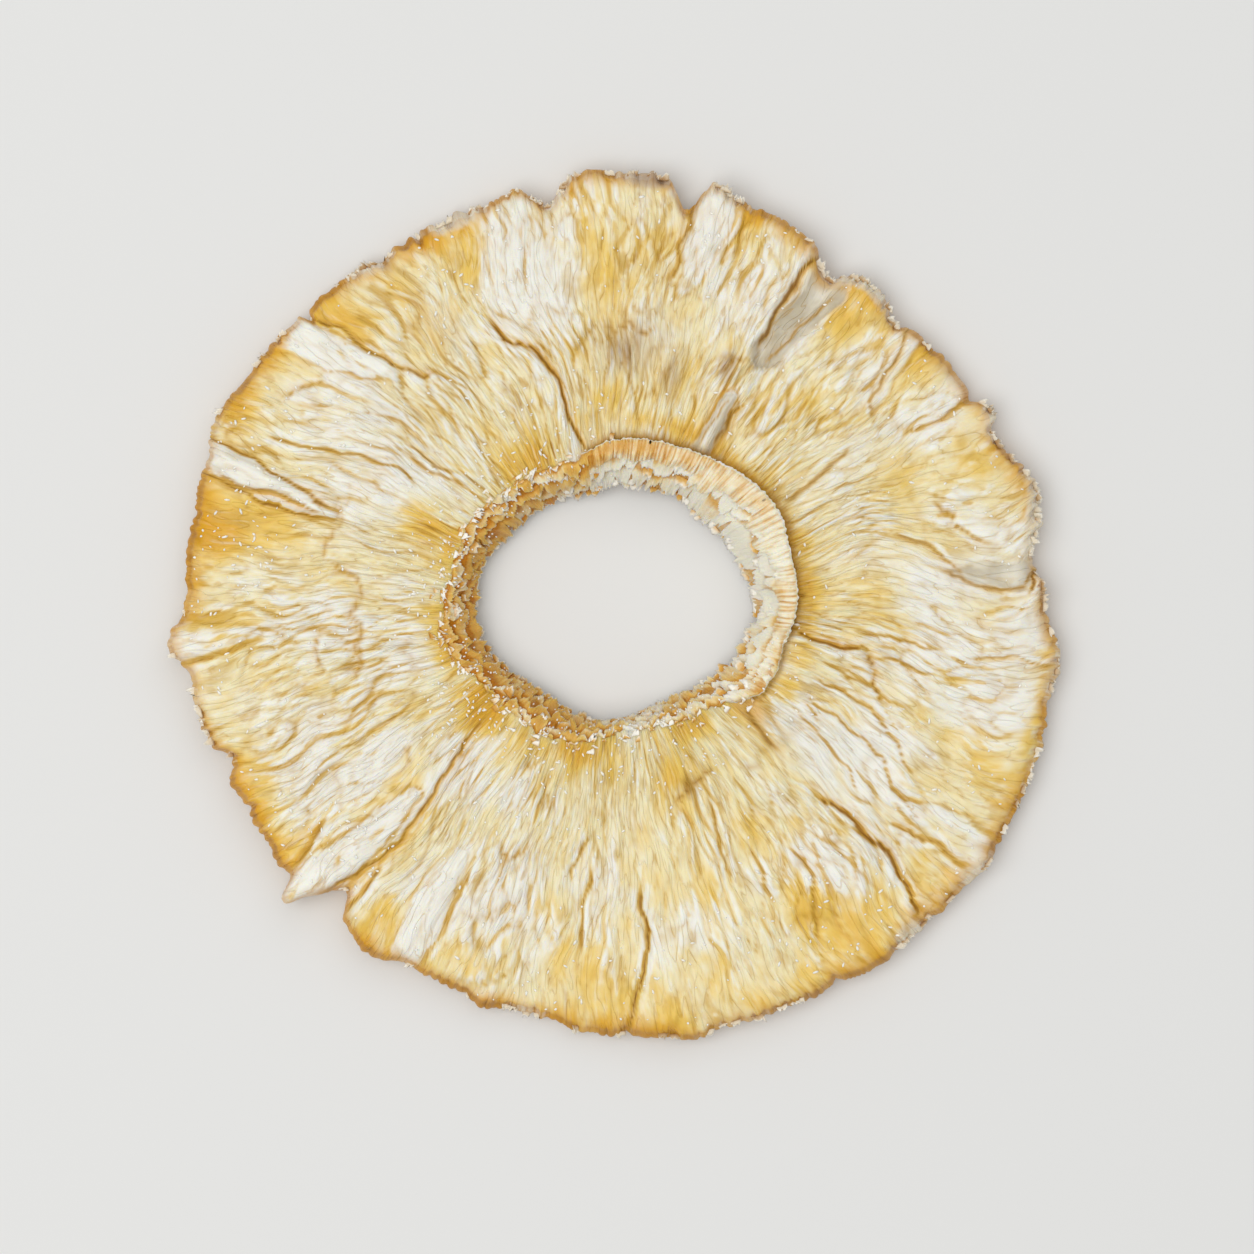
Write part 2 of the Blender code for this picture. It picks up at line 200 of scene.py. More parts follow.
# Hollows and swellings: angle, radius, half widths in degrees and mm, height
SWELLS = (
    (57.6, 31.5, 2.6, 4.6, -0.6), (61.5, 19.5, 1.6, 3.4, 0.4), (5, 35, 3.0, 3.5, 0.45),
    (185, 39.5, 2.5, 3.0, 0.4), (222.5, 36, 2.4, 6, 0.5), (139.5, 35, 2.6, 5, 0.45),
    (160, 35, 1.7, 6, 0.6), (238.5, 33, 3.0, 5, 0.3), (75, 35, 3, 4, 0.35), (132, 36, 3, 4, 0.2),
    (270, 22.5, 1.5, 1.5, 0.3), (326, 37, 3, 4, 0.3), (310, 36, 3.5, 4, 0.35), (277.5, 37, 3, 5, 0.2),
    (342, 18.5, 5, 2.5, 0.5), (85, 22, 6, 1.8, -0.35), (293, 18.7, 6, 1.6, -0.3), (226.8, 36, 1.2, 2.4, -0.5),
)

# Where the flesh is broken into short scales as well as fibres: the same, with an amount
SCALES = (
    (188, 27, 16, 7, 1.0), (86, 27, 13, 4.5, 0.8), (22, 26, 16, 7, 0.8), (262, 22, 12, 4, 0.6),
    (148, 26, 12, 5, 0.7), (330, 26, 12, 7, 0.5), (245, 24, 8, 3, 0.7), (118, 26, 8, 5, 0.6),
    (40, 24, 8, 5, 0.6), (168, 23, 7, 4, 0.8), (205, 24, 8, 5, 0.6), (70, 25, 6, 4, 0.6),
)

# Where the flesh is smooth: the same
CALM = (
    (283, 31, 15, 11, 1.0), (262, 33, 8, 7, 0.7), (22, 36, 9, 6, 0.6), (135, 38, 8, 5, 0.6), (307, 39, 6, 5, 0.8),
    (5, 33, 8, 7, 0.6), (340, 38, 9, 5, 0.5), (168, 36, 7, 6, 0.8), (186, 39, 8, 4, 0.7), (247, 38, 8, 5, 0.6),
    (49, 33, 6, 6, 0.5), (90, 35, 6, 5, 0.4), (222, 34, 4, 8, 0.5), (30, 21, 12, 3, 0.3), (331, 30, 12, 9, 0.55),
)

# Colour patches: angle, radius, half widths, amount
GOLD = (
    (170, 38, 6, 4, 1.0), (166, 34, 4, 4, 0.6), (132, 37, 4, 3.5, 0.9), (148, 40, 7, 2, 0.8),
    (156, 40, 5, 2, 0.5), (116.5, 39, 1.6, 2.5, 1.0), (111, 38, 3, 2, 0.5), (211, 40, 6, 2.2, 1.0),
    (217, 37, 3, 2, 0.6), (233, 38, 4, 3, 0.8), (262, 39.5, 5, 2, 0.7), (270, 38, 5, 3, 0.7),
    (276, 40, 4, 2, 0.7), (307, 38, 5, 4, 1.0), (303, 34, 3, 4, 0.6), (294, 40.5, 5, 1.6, 0.6),
    (120, 15.5, 9, 2.2, 1.2), (158, 18.5, 8, 2.5, 0.8), (160, 16.4, 8, 1.2, 1.1), (195, 16, 13, 1.6, 1.1),
    (220, 15.5, 13, 2.4, 1.3), (302, 13.5, 9, 1.6, 1.1), (322, 15.5, 8, 3, 1.0), (240, 15, 10, 1.6, 0.9),
    (256, 14.3, 13, 2.0, 1.1), (290, 17.5, 10, 3.5, 0.7), (5, 18.3, 45, 1.0, 0.8), (60, 17.6, 30, 0.9, 0.8),
    (36, 36, 6, 3, 0.4), (22, 36, 6, 4, 0.35), (344, 41.5, 12, 1.2, 0.8), (336, 38.5, 5, 3, 0.4),
    (88, 37, 6, 3, 0.35), (68, 33, 5, 5, 0.3), (355, 34, 5, 5, 0.3), (285, 32, 6, 7, 0.25),
    (88, 20, 8, 4, 0.35), (180, 35, 8, 5, 0.25), (51, 36, 5, 4, 0.8), (71, 38, 4, 3, 0.6), (66, 22, 5, 4, 0.5),
    (90, 28, 6, 4, 0.5), (47, 24, 6, 5, 0.4), (246, 37, 8, 3, 0.4), (125, 33, 4, 5, 0.35),
)
PALE = (
    (106, 32, 7, 6, 1.0), (139, 35, 2.4, 5, 1.0), (147, 32, 5, 4, 0.8), (154, 25, 5, 5, 0.9),
    (160.5, 35, 2, 6, 1.0), (215, 28, 6, 6, 0.9), (223, 33, 3.5, 7, 0.9), (238.5, 33, 3.4, 6, 1.0),
    (328, 27, 8, 7, 0.9), (345, 37, 6, 4, 0.9), (354, 38, 4, 3.5, 0.8), (143, 21, 6, 3, 0.7),
    (254, 32, 5, 5, 0.5), (268, 27, 4, 5, 0.6), (45, 33, 6, 6, 0.4), (75, 36, 2.6, 3.5, 0.9),
    (68, 38, 4, 3, 0.5), (185, 27, 8, 6, 0.5), (15, 26, 8, 5, 0.4), (50, 22, 6, 4, 0.4),
    (61, 19.5, 1.6, 3, 0.8), (200, 30, 6, 5, 0.6), (96, 37, 4, 3, 0.5), (315, 30, 4, 4, 0.5),
    (250, 31, 8, 4, 0.9), (308, 31, 6, 4, 0.7), (350, 31, 9, 4, 0.9), (68, 31, 6, 4, 0.7),
    (212, 32, 8, 5, 0.8), (283, 31, 6, 4, 0.7), (192, 20, 10, 2.5, 0.8), (228, 21, 10, 3, 0.9),
    (240, 20, 8, 2.5, 0.6), (30, 35, 8, 4, 0.4), (5, 31, 8, 3, 0.4), (326, 19, 6, 2.5, 0.8),
)
RUSTY = (
    (30, 40, 16, 2.2, 0.9), (50, 38, 12, 2.4, 1.0), (88, 40.5, 10, 1.6, 0.8), (113, 39.5, 9, 2.0, 1.0),
    (128, 40, 8, 1.8, 0.9), (148, 40.5, 8, 1.6, 0.6), (169, 40.5, 8, 2.2, 0.8), (186, 42, 5, 1.2, 0.3),
    (210, 40.5, 11, 2.0, 1.0), (233, 40, 8, 1.6, 0.8), (252, 40, 12, 1.8, 1.0), (273, 41, 8, 1.6, 0.8),
    (293, 42, 9, 1.8, 0.9), (309, 41.5, 8, 1.8, 0.8), (326, 42.5, 9, 1.6, 0.7), (345, 42, 10, 1.0, 0.4),
    (6, 40.5, 8, 1.2, 0.4), (70, 39.5, 8, 1.4, 0.6), (98, 39, 5, 1.6, 0.7),
)
BROWN = (
    (85.5, 40.3, 3.4, 1.2, 1.0), (124, 39, 2.2, 2.2, 0.7), (123.5, 34, 1.2, 3.5, 0.45),
    (171.5, 40, 3, 1.5, 0.6), (112.5, 39.5, 3, 1.3, 0.6), (262, 40, 3, 0.9, 0.5), (315, 41, 2, 1.2, 0.6),
    (326, 41.5, 2, 1.3, 0.5), (64.4, 24.9, 3, 2, 0.9), (88, 24, 10, 3.5, 0.75),
    (292, 18.7, 4, 1.5, 0.8), (76, 22, 4, 2.5, 0.75), (206, 41, 3, 1, 0.35),
    (192, 15.6, 10, 1.5, 0.5), (156, 14.5, 12, 1.6, 0.4), (58, 27.5, 2, 1.2, 0.4),
)
GREY = (
    (58, 31, 2.4, 5, 1.0), (5, 34.5, 3.4, 3.2, 0.8), (61, 19.5, 1.5, 3, 0.5), (122, 31, 3, 4, 0.5),
    (84, 26, 6, 3, 0.45), (30, 24, 4, 6, 0.35), (322, 20, 4, 4, 0.5), (140, 28, 5, 3, 0.4),
    (248, 26, 5, 2, 0.4), (352, 39, 3, 2.4, 0.4), (104, 36, 4, 3, 0.4), (215, 25, 3, 2, 0.3),
)

# ---------------------------------------------------------------- curves and noise


def around(values, angle):
    """A smooth closed curve through values spaced evenly round the ring, read at angle."""
    place = np.asarray(angle) / 360 * len(values)
    index = np.floor(place).astype(int)
    t = place - index
    before, here, there, after = (np.take(values, index + k, mode="wrap") for k in (-1, 0, 1, 2))
    cubic = 3 * (here - there) + after - before
    square = 2 * before - 5 * here + 4 * there - after
    return here + 0.5 * t * (there - before + t * (square + t * cubic))


def turn(angle, centre):
    """The angle from centre, from -180 to 180."""
    return (np.asarray(angle) - centre + 180) % 360 - 180


def smooth(t):
    """0 below 0, 1 above 1, and a smooth step between."""
    t = np.clip(t, 0, 1)
    return t * t * (3 - 2 * t)


def noise(u, v, count, seed):
    """Smooth noise from about -0.7 to 0.7 in cells of one by one. It repeats after count cells of u."""
    rows = 64
    lean = np.random.default_rng(seed).uniform(0, 2 * np.pi, (rows, count))
    column, row = np.floor(u).astype(int), np.floor(v).astype(int)
    du, dv = u - column, v - row

    def corner(right, up):
        angle = lean[(row + up) % rows, (column + right) % count]
        return np.cos(angle) * (du - right) + np.sin(angle) * (dv - up)

    su, sv = (t * t * t * (t * (6 * t - 15) + 10) for t in (du, dv))
    low = corner(0, 0) * (1 - su) + corner(1, 0) * su
    high = corner(0, 1) * (1 - su) + corner(1, 1) * su
    return low * (1 - sv) + high * sv


def ring_noise(angle, radius, count, length, seed):
    """Noise with count cells round the ring, each of this length along the radius."""
    return noise(np.asarray(angle) * count / 360, np.asarray(radius) / length, count, seed)


def cells(angle, radius, count, length, seed):
    """Irregular cells, count of them round the ring and each about this long.

    Gives each place's nearness to its cell's border, 0 there and about 0.6 in the middle, a random
    number from -1 to 1 that the whole cell has, and how far out from the cell's middle it lies.
    """
    rows = 64
    random = np.random.default_rng(seed)
    middles, numbers = random.uniform(0.12, 0.88, (rows, count, 2)), random.uniform(-1, 1, (rows, count))
    u, v = np.asarray(angle) * count / 360, np.asarray(radius) / length
    column, row = np.floor(u).astype(int), np.floor(v).astype(int)
    nearest, second = np.full(u.shape, 9.0), np.full(u.shape, 9.0)
    number, beyond = np.zeros(u.shape), np.zeros(u.shape)
    for right, up in ((i, j) for i in (-1, 0, 1) for j in (-1, 0, 1)):
        cell = ((row + up) % rows, (column + right) % count)
        du = column + right + middles[cell][..., 0] - u
        dv = row + up + middles[cell][..., 1] - v
        away = np.hypot(du, dv)
        closer = away < nearest
        second = np.where(closer, nearest, np.minimum(second, away))
        number, beyond = np.where(closer, numbers[cell], number), np.where(closer, -dv, beyond)
        nearest = np.minimum(nearest, away)
    return second - nearest, number, beyond


def plump(value, width):
    """Flat-topped swellings with narrow valleys where value crosses 0: 0 in a valley, 1 on top."""
    return 1 - np.exp(-np.abs(value) / width)


def patches(angle, radius, spots):
    """The greatest of these soft spots at each place."""
    found = np.zeros(np.broadcast(angle, radius).shape)
    for centre, middle, half_angle, half_radius, amount in spots:
        away = (turn(angle, centre) / half_angle) ** 2 + ((radius - middle) / half_radius) ** 2
        found = np.maximum(found, amount * np.exp(-away * 0.7))
    return found


def at(angle, radius):
    """x and y of a place given by angle and radius."""
    return radius * np.cos(np.radians(angle)), radius * np.sin(np.radians(angle))


def unit(vectors):
    return vectors / np.linalg.norm(vectors, axis=-1, keepdims=True)


# ---------------------------------------------------------------- the slice's outline and relief


def rim_radius(angle):
    radius = around(RIM_RADII, angle)
    for centre, reach, half_width in RIM_LOBES:
        radius = radius + reach * np.exp(-np.abs(turn(angle, centre) / half_width) ** 2.5)
    return radius


def collar(angle):
    """1 where the core has curled up as a collar, 0 where it lies flush."""
    middle, half = (COLLAR_FROM + COLLAR_TO) / 2, (COLLAR_TO - COLLAR_FROM) / 2
    share = smooth((half - np.abs(turn(angle, middle))) / COLLAR_FADE + 0.5)
    return share * (1 - 0.5 * smooth((-turn(angle, -7)) / 5) * (np.abs(turn(angle, -30)) < 40))


def core_radius(angle):
    """The core's edge, which wanders where it isn't curled up."""
    ragged = 0.7 * ring_noise(angle, 0, 60, 1, 17) + 0.4 * ring_noise(angle, 0, 150, 1, 18)
    return around(CORE_RADII, angle) + ragged * (1 - 0.8 * collar(angle))


def flesh_core(angle):
    """Where the flesh begins: at the core's edge, and a little inside it under the collar."""
    return core_radius(angle) - 0.45 * collar(angle)


def waves(angle, terms):
    return sum(height * np.cos(np.radians(count * turn(angle, crest))) for count, height, crest in terms)


def swayed(angle, radius):
    """The angle that a fibre has come to at this radius, having set out at angle."""
    sway = 2.0 * ring_noise(angle, radius, 22, 8, 11) + 0.8 * ring_noise(angle, radius, 60, 4.5, 12)
    sway = sway + 0.25 * ring_noise(angle, radius, 150, 2.6, 13)
    for centre, middle, half_angle, half_radius, slope in LEANS:
        near = (turn(angle, centre) / half_angle) ** 2 + ((radius - middle) / half_radius) ** 2
        sway = sway + slope * (radius - middle) * np.exp(-0.5 * near)
    return angle + sway


def close_to(route, x, y):
    """Which places are near enough to a route for its fold or lobe to reach them."""
    turns = [at(angle, radius) for angle, radius, _ in route]
    low, high = np.min(turns, axis=0) - 3 * FOLD_REACH, np.max(turns, axis=0) + 3 * FOLD_REACH
    return (x > low[0]) & (x < high[0]) & (y > low[1]) & (y < high[1])


def nearest_on(route, x, y):
    """Distance from a route, which side of it (1 on its left), its half width there, and the nearer end."""
    turns = [(*at(angle, radius), width) for angle, radius, width in route]
    nearest, side, breadth = np.full(x.shape, np.inf), np.ones(x.shape), np.zeros(x.shape)
    for (ax, ay, from_width), (bx, by, to_width) in zip(turns, turns[1:]):
        dx, dy = bx - ax, by - ay
        along = np.clip(((x - ax) * dx + (y - ay) * dy) / (dx * dx + dy * dy), 0, 1)
        away = np.hypot(x - ax - along * dx, y - ay - along * dy)
        closer = away < nearest
        side = np.where(closer, np.sign(dx * (y - ay) - dy * (x - ax)), side)
        breadth = np.where(closer, from_width + along * (to_width - from_width), breadth)
        nearest = np.minimum(nearest, away)
    end = np.minimum(*(np.hypot(x - ex, y - ey) for ex, ey, _ in (turns[0], turns[-1])))
    return nearest, side, breadth, end


def deepen(marks, name, where, values):
    marks[name][where] = np.maximum(marks[name][where], values)


def fold_relief(x, y):
    """Height that folds and lobes add, with marks from 0 to 1: painted shade in a crease, painted shadow on a fold's
    low side, painted highlight or a lobe's own whiteness on a lip, and grey.
    """
    relief, marks = np.zeros_like(x), {name: np.zeros_like(x) for name in ("crease", "lee_shadow", "lip", "grey")}
    wobble = [0.55 * noise(x / 2.3, y / 2.3, 97, seed) + 0.2 * noise(x / 0.8, y / 0.8, 97, seed + 2) for seed in (15, 16)]
    x, y = x + wobble[0], y + wobble[1]
    for depth, half_width, lift, path in FOLDS:
        route = [(angle, radius, half_width) for angle, radius in path]
        near = close_to(route, x, y)
        nearest, side, _, end = nearest_on(route, x[near], y[near])
        fade = smooth(end / 1.5 + 0.25)
        above = smooth(side * np.sign(lift) * nearest / 0.5 + 0.5) if lift else 0.5
        bold = min(1, 1.7 * abs(lift)) * fade
        relief[near] += 0.9 * abs(lift) * above * np.exp(-nearest / FOLD_REACH) * fade
        relief[near] -= 0.6 * depth * np.exp(-((nearest / (0.8 * half_width)) ** 2)) * fade
        # The crease mark is painted shade along a fold's bottom, the lee mark painted shadow on its lower side, and the
        # lip mark painted highlight on its raised edge.
        line = np.exp(-((nearest / (0.50 * half_width)) ** 2)) * min(1, 0.4 + 0.6 * depth)
        deepen(marks, "crease", near, line * fade)
        deepen(marks, "lee_shadow", near, 0.7 * bold * (1 - above) * np.exp(-nearest / 0.6))
        deepen(marks, "lip", near, 0.5 * bold * above * np.exp(-nearest / 0.7))
    for height, white, grey, route in LOBES:
        near = close_to(route, x, y)
        nearest, _, breadth, _ = nearest_on(route, x[near], y[near])
        inside = breadth - nearest
        on = smooth(inside / 0.45 + 0.5)
        rounded = 0.6 + 0.4 * smooth(2 * inside / np.maximum(breadth, 0.1))
        relief[near] += height * on * rounded
        low_side = np.where(height > 0, -inside, inside)
        bold = min(1, 1.2 * abs(height)) * smooth(breadth / 0.6)
        # At a lobe's edge the crease mark is a painted shadow line on the low side and the lee mark painted shadow next
        # to it; the lip mark is the lobe's own whiteness, and grey its own greyness.
        deepen(marks, "crease", near, (0.9 - 0.7 * grey) * bold * np.exp(-(((low_side - 0.15) / 0.16) ** 2)))
        deepen(marks, "lee_shadow", near, 0.7 * bold * smooth(low_side / 0.3 + 0.5) * np.exp(-np.abs(low_side) / 0.4))
        deepen(marks, "lip", near, white * on)
        deepen(marks, "grey", near, grey * on)
    return relief, marks


def wrinkle(line, gate, depth, width, lift):
    """A valley where line crosses 0, with one side of it standing above the other."""
    valley = np.exp(-np.abs(line) / width)
    ledge = np.tanh(2 * line / width) * np.exp(-np.abs(line) / 0.22)
    return gate * (lift * ledge - depth * valley)


def gate(angle, radius, count, length, seed, share=0.5):
    """1 in this share of the flesh and 0 in the rest, with soft edges."""
    return smooth(1.8 * ring_noise(angle, radius, count, length, seed) + share)


def flesh_relief(fibre, angle, radius):
    """Height of the wrinkles, and how deep in one each place lies, from 0 to 1."""
    warp = fibre + 0.5 * ring_noise(fibre, radius, 90, 3, 14)
    broad = ring_noise(warp, radius, 58, 7, 1)
    middle = ring_noise(warp, radius, 118, 5, 2)
    gates = [gate(fibre, radius, count, length, seed, 0.5)
             for count, length, seed in ((24, 6, 51), (40, 4.5, 52), (50, 4, 53))]
    height = wrinkle(broad, gates[0], 0.30, 0.07, 0.22)
    height = height + wrinkle(middle, gates[1], 0.20, 0.08, 0.13)

    scaly = patches(angle, radius, SCALES)
    border, number, beyond = cells(warp + 0.8 * middle, radius + 1.5 * broad, 116, 4.5, 5)
    body = plump(border, 0.24)
    height = height + (0.26 * body + 0.14 * number * body + 0.14 * beyond * body) * (1 - 0.75 * scaly)
    strand_border, strand, _ = cells(warp - 0.5 * broad, radius + 2 * middle, 232, 3.8, 7)
    strand_body = plump(strand_border, 0.26)
    outer = smooth((radius - 18) / 8)
    height = height + gates[2] * strand_body * (0.14 + 0.05 * strand) * (0.3 + 0.7 * outer)
    scale_border, scale_number, scale_beyond = cells(warp + 1.0 * broad, radius + middle, 104, 2.5, 6)
    scale_body = plump(scale_border, 0.20)
    height = height + scaly * scale_body * (0.36 + 0.14 * scale_number + 0.20 * scale_beyond)

    # valley: how deep in a wrinkle each place lies. The finish paints it ochre, partly for juice gathered there and
    # partly as painted shade.
    valley = np.maximum(gates[0] * np.exp(-np.abs(broad) / 0.05), gates[1] * np.exp(-np.abs(middle) / 0.06))
    valley = np.maximum(valley, 0.30 * gates[2] * np.exp(-strand_border / 0.10) * outer)
    valley = np.maximum(valley, 0.6 * (1 - scaly) * np.exp(-border / 0.08) * (0.4 + 0.6 * outer))
    valley = np.maximum(valley, 0.65 * scaly * np.exp(-scale_border / 0.09))
    tint = 0.7 * number * (1 - scaly) + 0.7 * scale_number * scaly + 0.4 * strand
    return height, valley, tint


def top_of(fibre, across):
    """The upper face: x, y, height and marks of the places on these fibres, at these shares across."""
    core, rim = flesh_core(fibre), rim_radius(fibre) - RIM_BULGE
    angle = swayed(fibre, core + across * (rim - core))
    core, rim = flesh_core(angle), rim_radius(angle) - RIM_BULGE
    radius = core + across * (rim - core)
    x, y = at(angle, radius)
    out = radius - core
    share = collar(angle)

    lively = 0.40 + 0.60 * gate(angle, radius, 18, 7, 61) + 0.35 * ring_noise(angle, radius, 40, 4, 62)
    wrinkles, valley, tint = flesh_relief(fibre, angle, radius)
    folds, fold_marks = fold_relief(x, y)
    even = np.maximum(np.maximum(0.6 * fold_marks["lip"], fold_marks["grey"]), 0.75 * patches(angle, radius, CALM))
    calm = 1 - 0.75 * even
    wrinkles = wrinkles * lively * calm * smooth(out / 1.2 + 0.25)
    lumps = 0.40 * ring_noise(angle, radius, 26, 7, 7) + 0.28 * ring_noise(angle, radius, 48, 4, 8)
    lumps = lumps + 0.22 * ring_noise(fibre, radius, 90, 2.2, 9) + 0.10 * ring_noise(fibre, radius, 150, 1.5, 10)
    swells = np.zeros_like(x)
    for centre, reach, half_angle, half_radius, height in SWELLS:
        away = (turn(angle, centre) / half_angle) ** 2 + ((radius - reach) / half_radius) ** 2
        swells = swells + height * np.exp(-away)

    flesh = FLESH_TOP - 0.25 + waves(angle, TOP_WAVES) * across ** 0.6 - 0.3 * across ** 3
    flesh = flesh + wrinkles + (lumps * (1 + 0.4 * even) + swells) * smooth(out / 2) + folds * smooth(out / 1.0)
    rolled = np.clip(1 - (rim - radius) / RIM_ROLL, 0, 1)
    flesh = flesh - 1.2 * (1 - np.sqrt(1 - 0.97 * rolled ** 2))
    flush = flesh + RISE_DEPTH * np.exp(-((out / RISE_WIDTH) ** 2))
    groove = np.exp(-(((out - GROOVE_OFFSET) / GROOVE_WIDTH) ** 2))
    flesh = flush + (flesh - GROOVE_DEPTH * groove - flush) * share
    edge = CORE_TOP - 0.2 - 0.2 * share
    height = flesh + (edge - flesh) * np.exp(-((out / 0.35) ** 2))

    edge_width = 0.7 + 1.6 * gate(angle, 0, 30, 1, 63) + 0.8 * ring_noise(angle, 0, 90, 1, 64)
    rimward = np.exp(-(rim - radius) / edge_width)
    gold = patches(angle, radius, GOLD) + 0.5 * ring_noise(fibre, radius, 40, 9, 21)
    pale = patches(angle, radius, PALE) + 0.5 * ring_noise(fibre, radius, 52, 8, 22)
    marks = {
        "valley": valley * (0.5 + 0.5 * lively) * calm * smooth(out / 1.2 + 0.2),
        # Painted shade in the groove round the curled-up collar, and painted shadow just outside it.
        "crease": np.maximum(fold_marks["crease"], 0.8 * share * groove),
        "lee_shadow": np.maximum(fold_marks["lee_shadow"], 1.3 * share * np.exp(-out / 0.6)),
        "lip": fold_marks["lip"],
        "rimward": rimward,
        "tint": tint,
        "even": even,
        "gold": np.clip(gold, 0, 1.15),
        "pale": np.clip(pale, 0, 1),
        "brown": patches(angle, radius, BROWN),
        "rusty": patches(angle, radius, RUSTY),
        "grey": np.maximum(patches(angle, radius, GREY), fold_marks["grey"]),
    }
    return x, y, height, marks


def hollow(loops, fibre, height, spread):
    """How far each place lies below its own loop's places this many degrees to either side of it."""
    below = np.zeros_like(height)
    for loop in np.unique(loops):
        members = np.flatnonzero(loops == loop)
        members = members[np.argsort(fibre[members])]
        steps = round(spread * len(members) / 360)
        high = height[members]
        below[members] = (np.roll(high, steps) + np.roll(high, -steps)) / 2 - high
    return below


def under_of(fibre, across):
    """The underside: x, y and height. It is flat at 0 where it rests."""
    hole, rim = around(HOLE_RADII, fibre) + 0.9, rim_radius(fibre) - RIM_BULGE
    angle = swayed(fibre, hole + across * (rim - hole))
    hole, rim = around(HOLE_RADII, angle) + 0.9, rim_radius(angle) - RIM_BULGE
    radius = hole + across * (rim - hole)
    x, y = at(angle, radius)
    lift = UNDER_LIFT + waves(angle, UNDER_WAVES)
    for foot_angle, foot_radius, half_width in FEET:
        foot_x, foot_y = at(foot_angle, foot_radius)
        lift = lift - FOOT_PRESS * np.exp(-(((x - foot_x) ** 2 + (y - foot_y) ** 2) / half_width ** 2))
    broad, middle = ring_noise(fibre, radius, 60, 13, 31), ring_noise(fibre, radius, 128, 8, 32)
    wrinkles = 0.40 * plump(broad, 0.12) + 0.28 * plump(middle, 0.14)
    height = np.maximum(np.maximum(lift, -0.15) + 0.68 - wrinkles, 0)
    return x, y, height


# ---------------------------------------------------------------- making pieces

RING_STEPS, TOP_LOOPS = 720, 50
CORE_STEPS, CORE_LOOPS = 1440, 46
CORE_TUCK = 0.1  # the share of the core's face that is tucked in under the flesh or behind the crest


def to_mesh(bm, name):
    mesh = bpy.data.meshes.new(name)
    bm.to_mesh(mesh)
    bm.free()
    return mesh


def as_piece(name, mesh, material):
    piece = bpy.data.objects.new(name, mesh)
    bpy.context.scene.collection.objects.link(piece)
    mesh.materials.append(material)
    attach(piece, "root")
    return piece


def set_marks(mesh, marks):
    for name, values in marks.items():
        layer = mesh.attributes.new(name, "FLOAT", "POINT")
        layer.data.foreach_set("value", values.astype(np.float32))


def set_grain(mesh, x, y, z):
    layer = mesh.attributes.new("grain", "FLOAT_VECTOR", "POINT")
    layer.data.foreach_set("vector", np.column_stack((x, y, z)).ravel().astype(np.float32))


def read_places(mesh):
    places = np.empty(len(mesh.vertices) * 3, np.float32)
    mesh.vertices.foreach_get("co", places)
    return places.reshape(-1, 3).astype(float)


def set_places(mesh, x, y, z, margin=0.0):
    low, high = np.array(cad_box[0]) + margin * MM, np.array(cad_box[1]) - margin * MM
    places = np.column_stack((x + CENTRE[0], y + CENTRE[1], z)) * MM
    mesh.vertices.foreach_set("co", np.clip(places, low, high).ravel())
    mesh.update()


def washer():
    """A washer of unit thickness. Its radii less 1 are shares across, its heights are shares up."""
    wall = [(0, up) for up in (0.1, 0.3, 0.5, 0.7, 0.88)]
    top = [(0.95 * k / TOP_LOOPS, 1) for k in range(TOP_LOOPS)]
    top += [(across, 1) for across in (0.95, 0.964, 0.976, 0.986, 0.994, 1)]
    rim = [(1, up) for up in (0.86, 0.62, 0.36, 0.14)]
    under = [(1 - k / 12, 0) for k in range(13)]
    bm = bmesh.new()
    corners = [bm.verts.new((1 + across, 0, up)) for across, up in wall + top + rim + under]
    loop = [bm.edges.new((a, b)) for a, b in zip(corners, corners[1:] + corners[:1])]
    bmesh.ops.spin(
        bm, geom=corners + loop, cent=(0, 0, 0), axis=(0, 0, 1),
        angle=2 * math.pi, steps=RING_STEPS, use_merge=True,
    )
    bmesh.ops.remove_doubles(bm, verts=bm.verts, dist=1e-5)
    bm.normal_update()
    fine = [
        edge for edge in bm.edges
        if abs(edge.verts[0].co.z - edge.verts[1].co.z) < 1e-5 and edge.verts[0].co.z > 0.05
        and abs(edge.verts[0].co.xy.length - edge.verts[1].co.xy.length) < 1e-5
        and (edge.verts[0].co.z > 0.999 or edge.verts[0].co.xy.length > 1.999)
    ]
    bmesh.ops.subdivide_edges(bm, edges=fine, cuts=1)
    bmesh.ops.triangulate(bm, faces=[face for face in bm.faces if len(face.verts) > 4])
    bmesh.ops.recalc_face_normals(bm, faces=bm.faces)
    return bm


def roll_out(mesh, blank, across, up):
    """A map for baking: quarters of the top, the underside and the two walls, each rolled out as a strip."""
    corner = np.empty(len(mesh.loops), np.int32)
    mesh.loops.foreach_get("vertex_index", corner)
    total = np.empty(len(mesh.polygons), np.int32)
    mesh.polygons.foreach_get("loop_total", total)
    first = np.cumsum(total) - total

    def middle(values):
        return np.add.reduceat(values[corner], first) / total

    quarter = np.floor(np.degrees(np.arctan2(middle(blank[:, 1]), middle(blank[:, 0]))) / 90).astype(int) % 4
    kind = np.where(middle(across) > 0.9999, 3, 2)
    kind = np.where(middle(up) < 1e-4, 1, kind)
    kind = np.where(middle(up) > 0.9999, 0, kind)
    high = np.array((0.165, 0.055, 0.012, 0.017))
    base = np.array((0, 0.66, 0.88, 0.928))[kind] + quarter * high[kind]
    base, high, quarter, kind = (np.repeat(values, total) for values in (base, high[kind], quarter, kind))
    angle = np.degrees(np.arctan2(blank[:, 1], blank[:, 0]))[corner]
    along = ((angle - 90 * quarter + 180) % 360 - 180) / 90
    share = np.where(kind < 2, across[corner], up[corner])
    layer = mesh.uv_layers.new(name="OFBake")
    places = np.column_stack((0.004 + 0.992 * along, base + high * (0.03 + 0.94 * share)))
    layer.uv.foreach_set("vector", places.ravel().astype(np.float32))


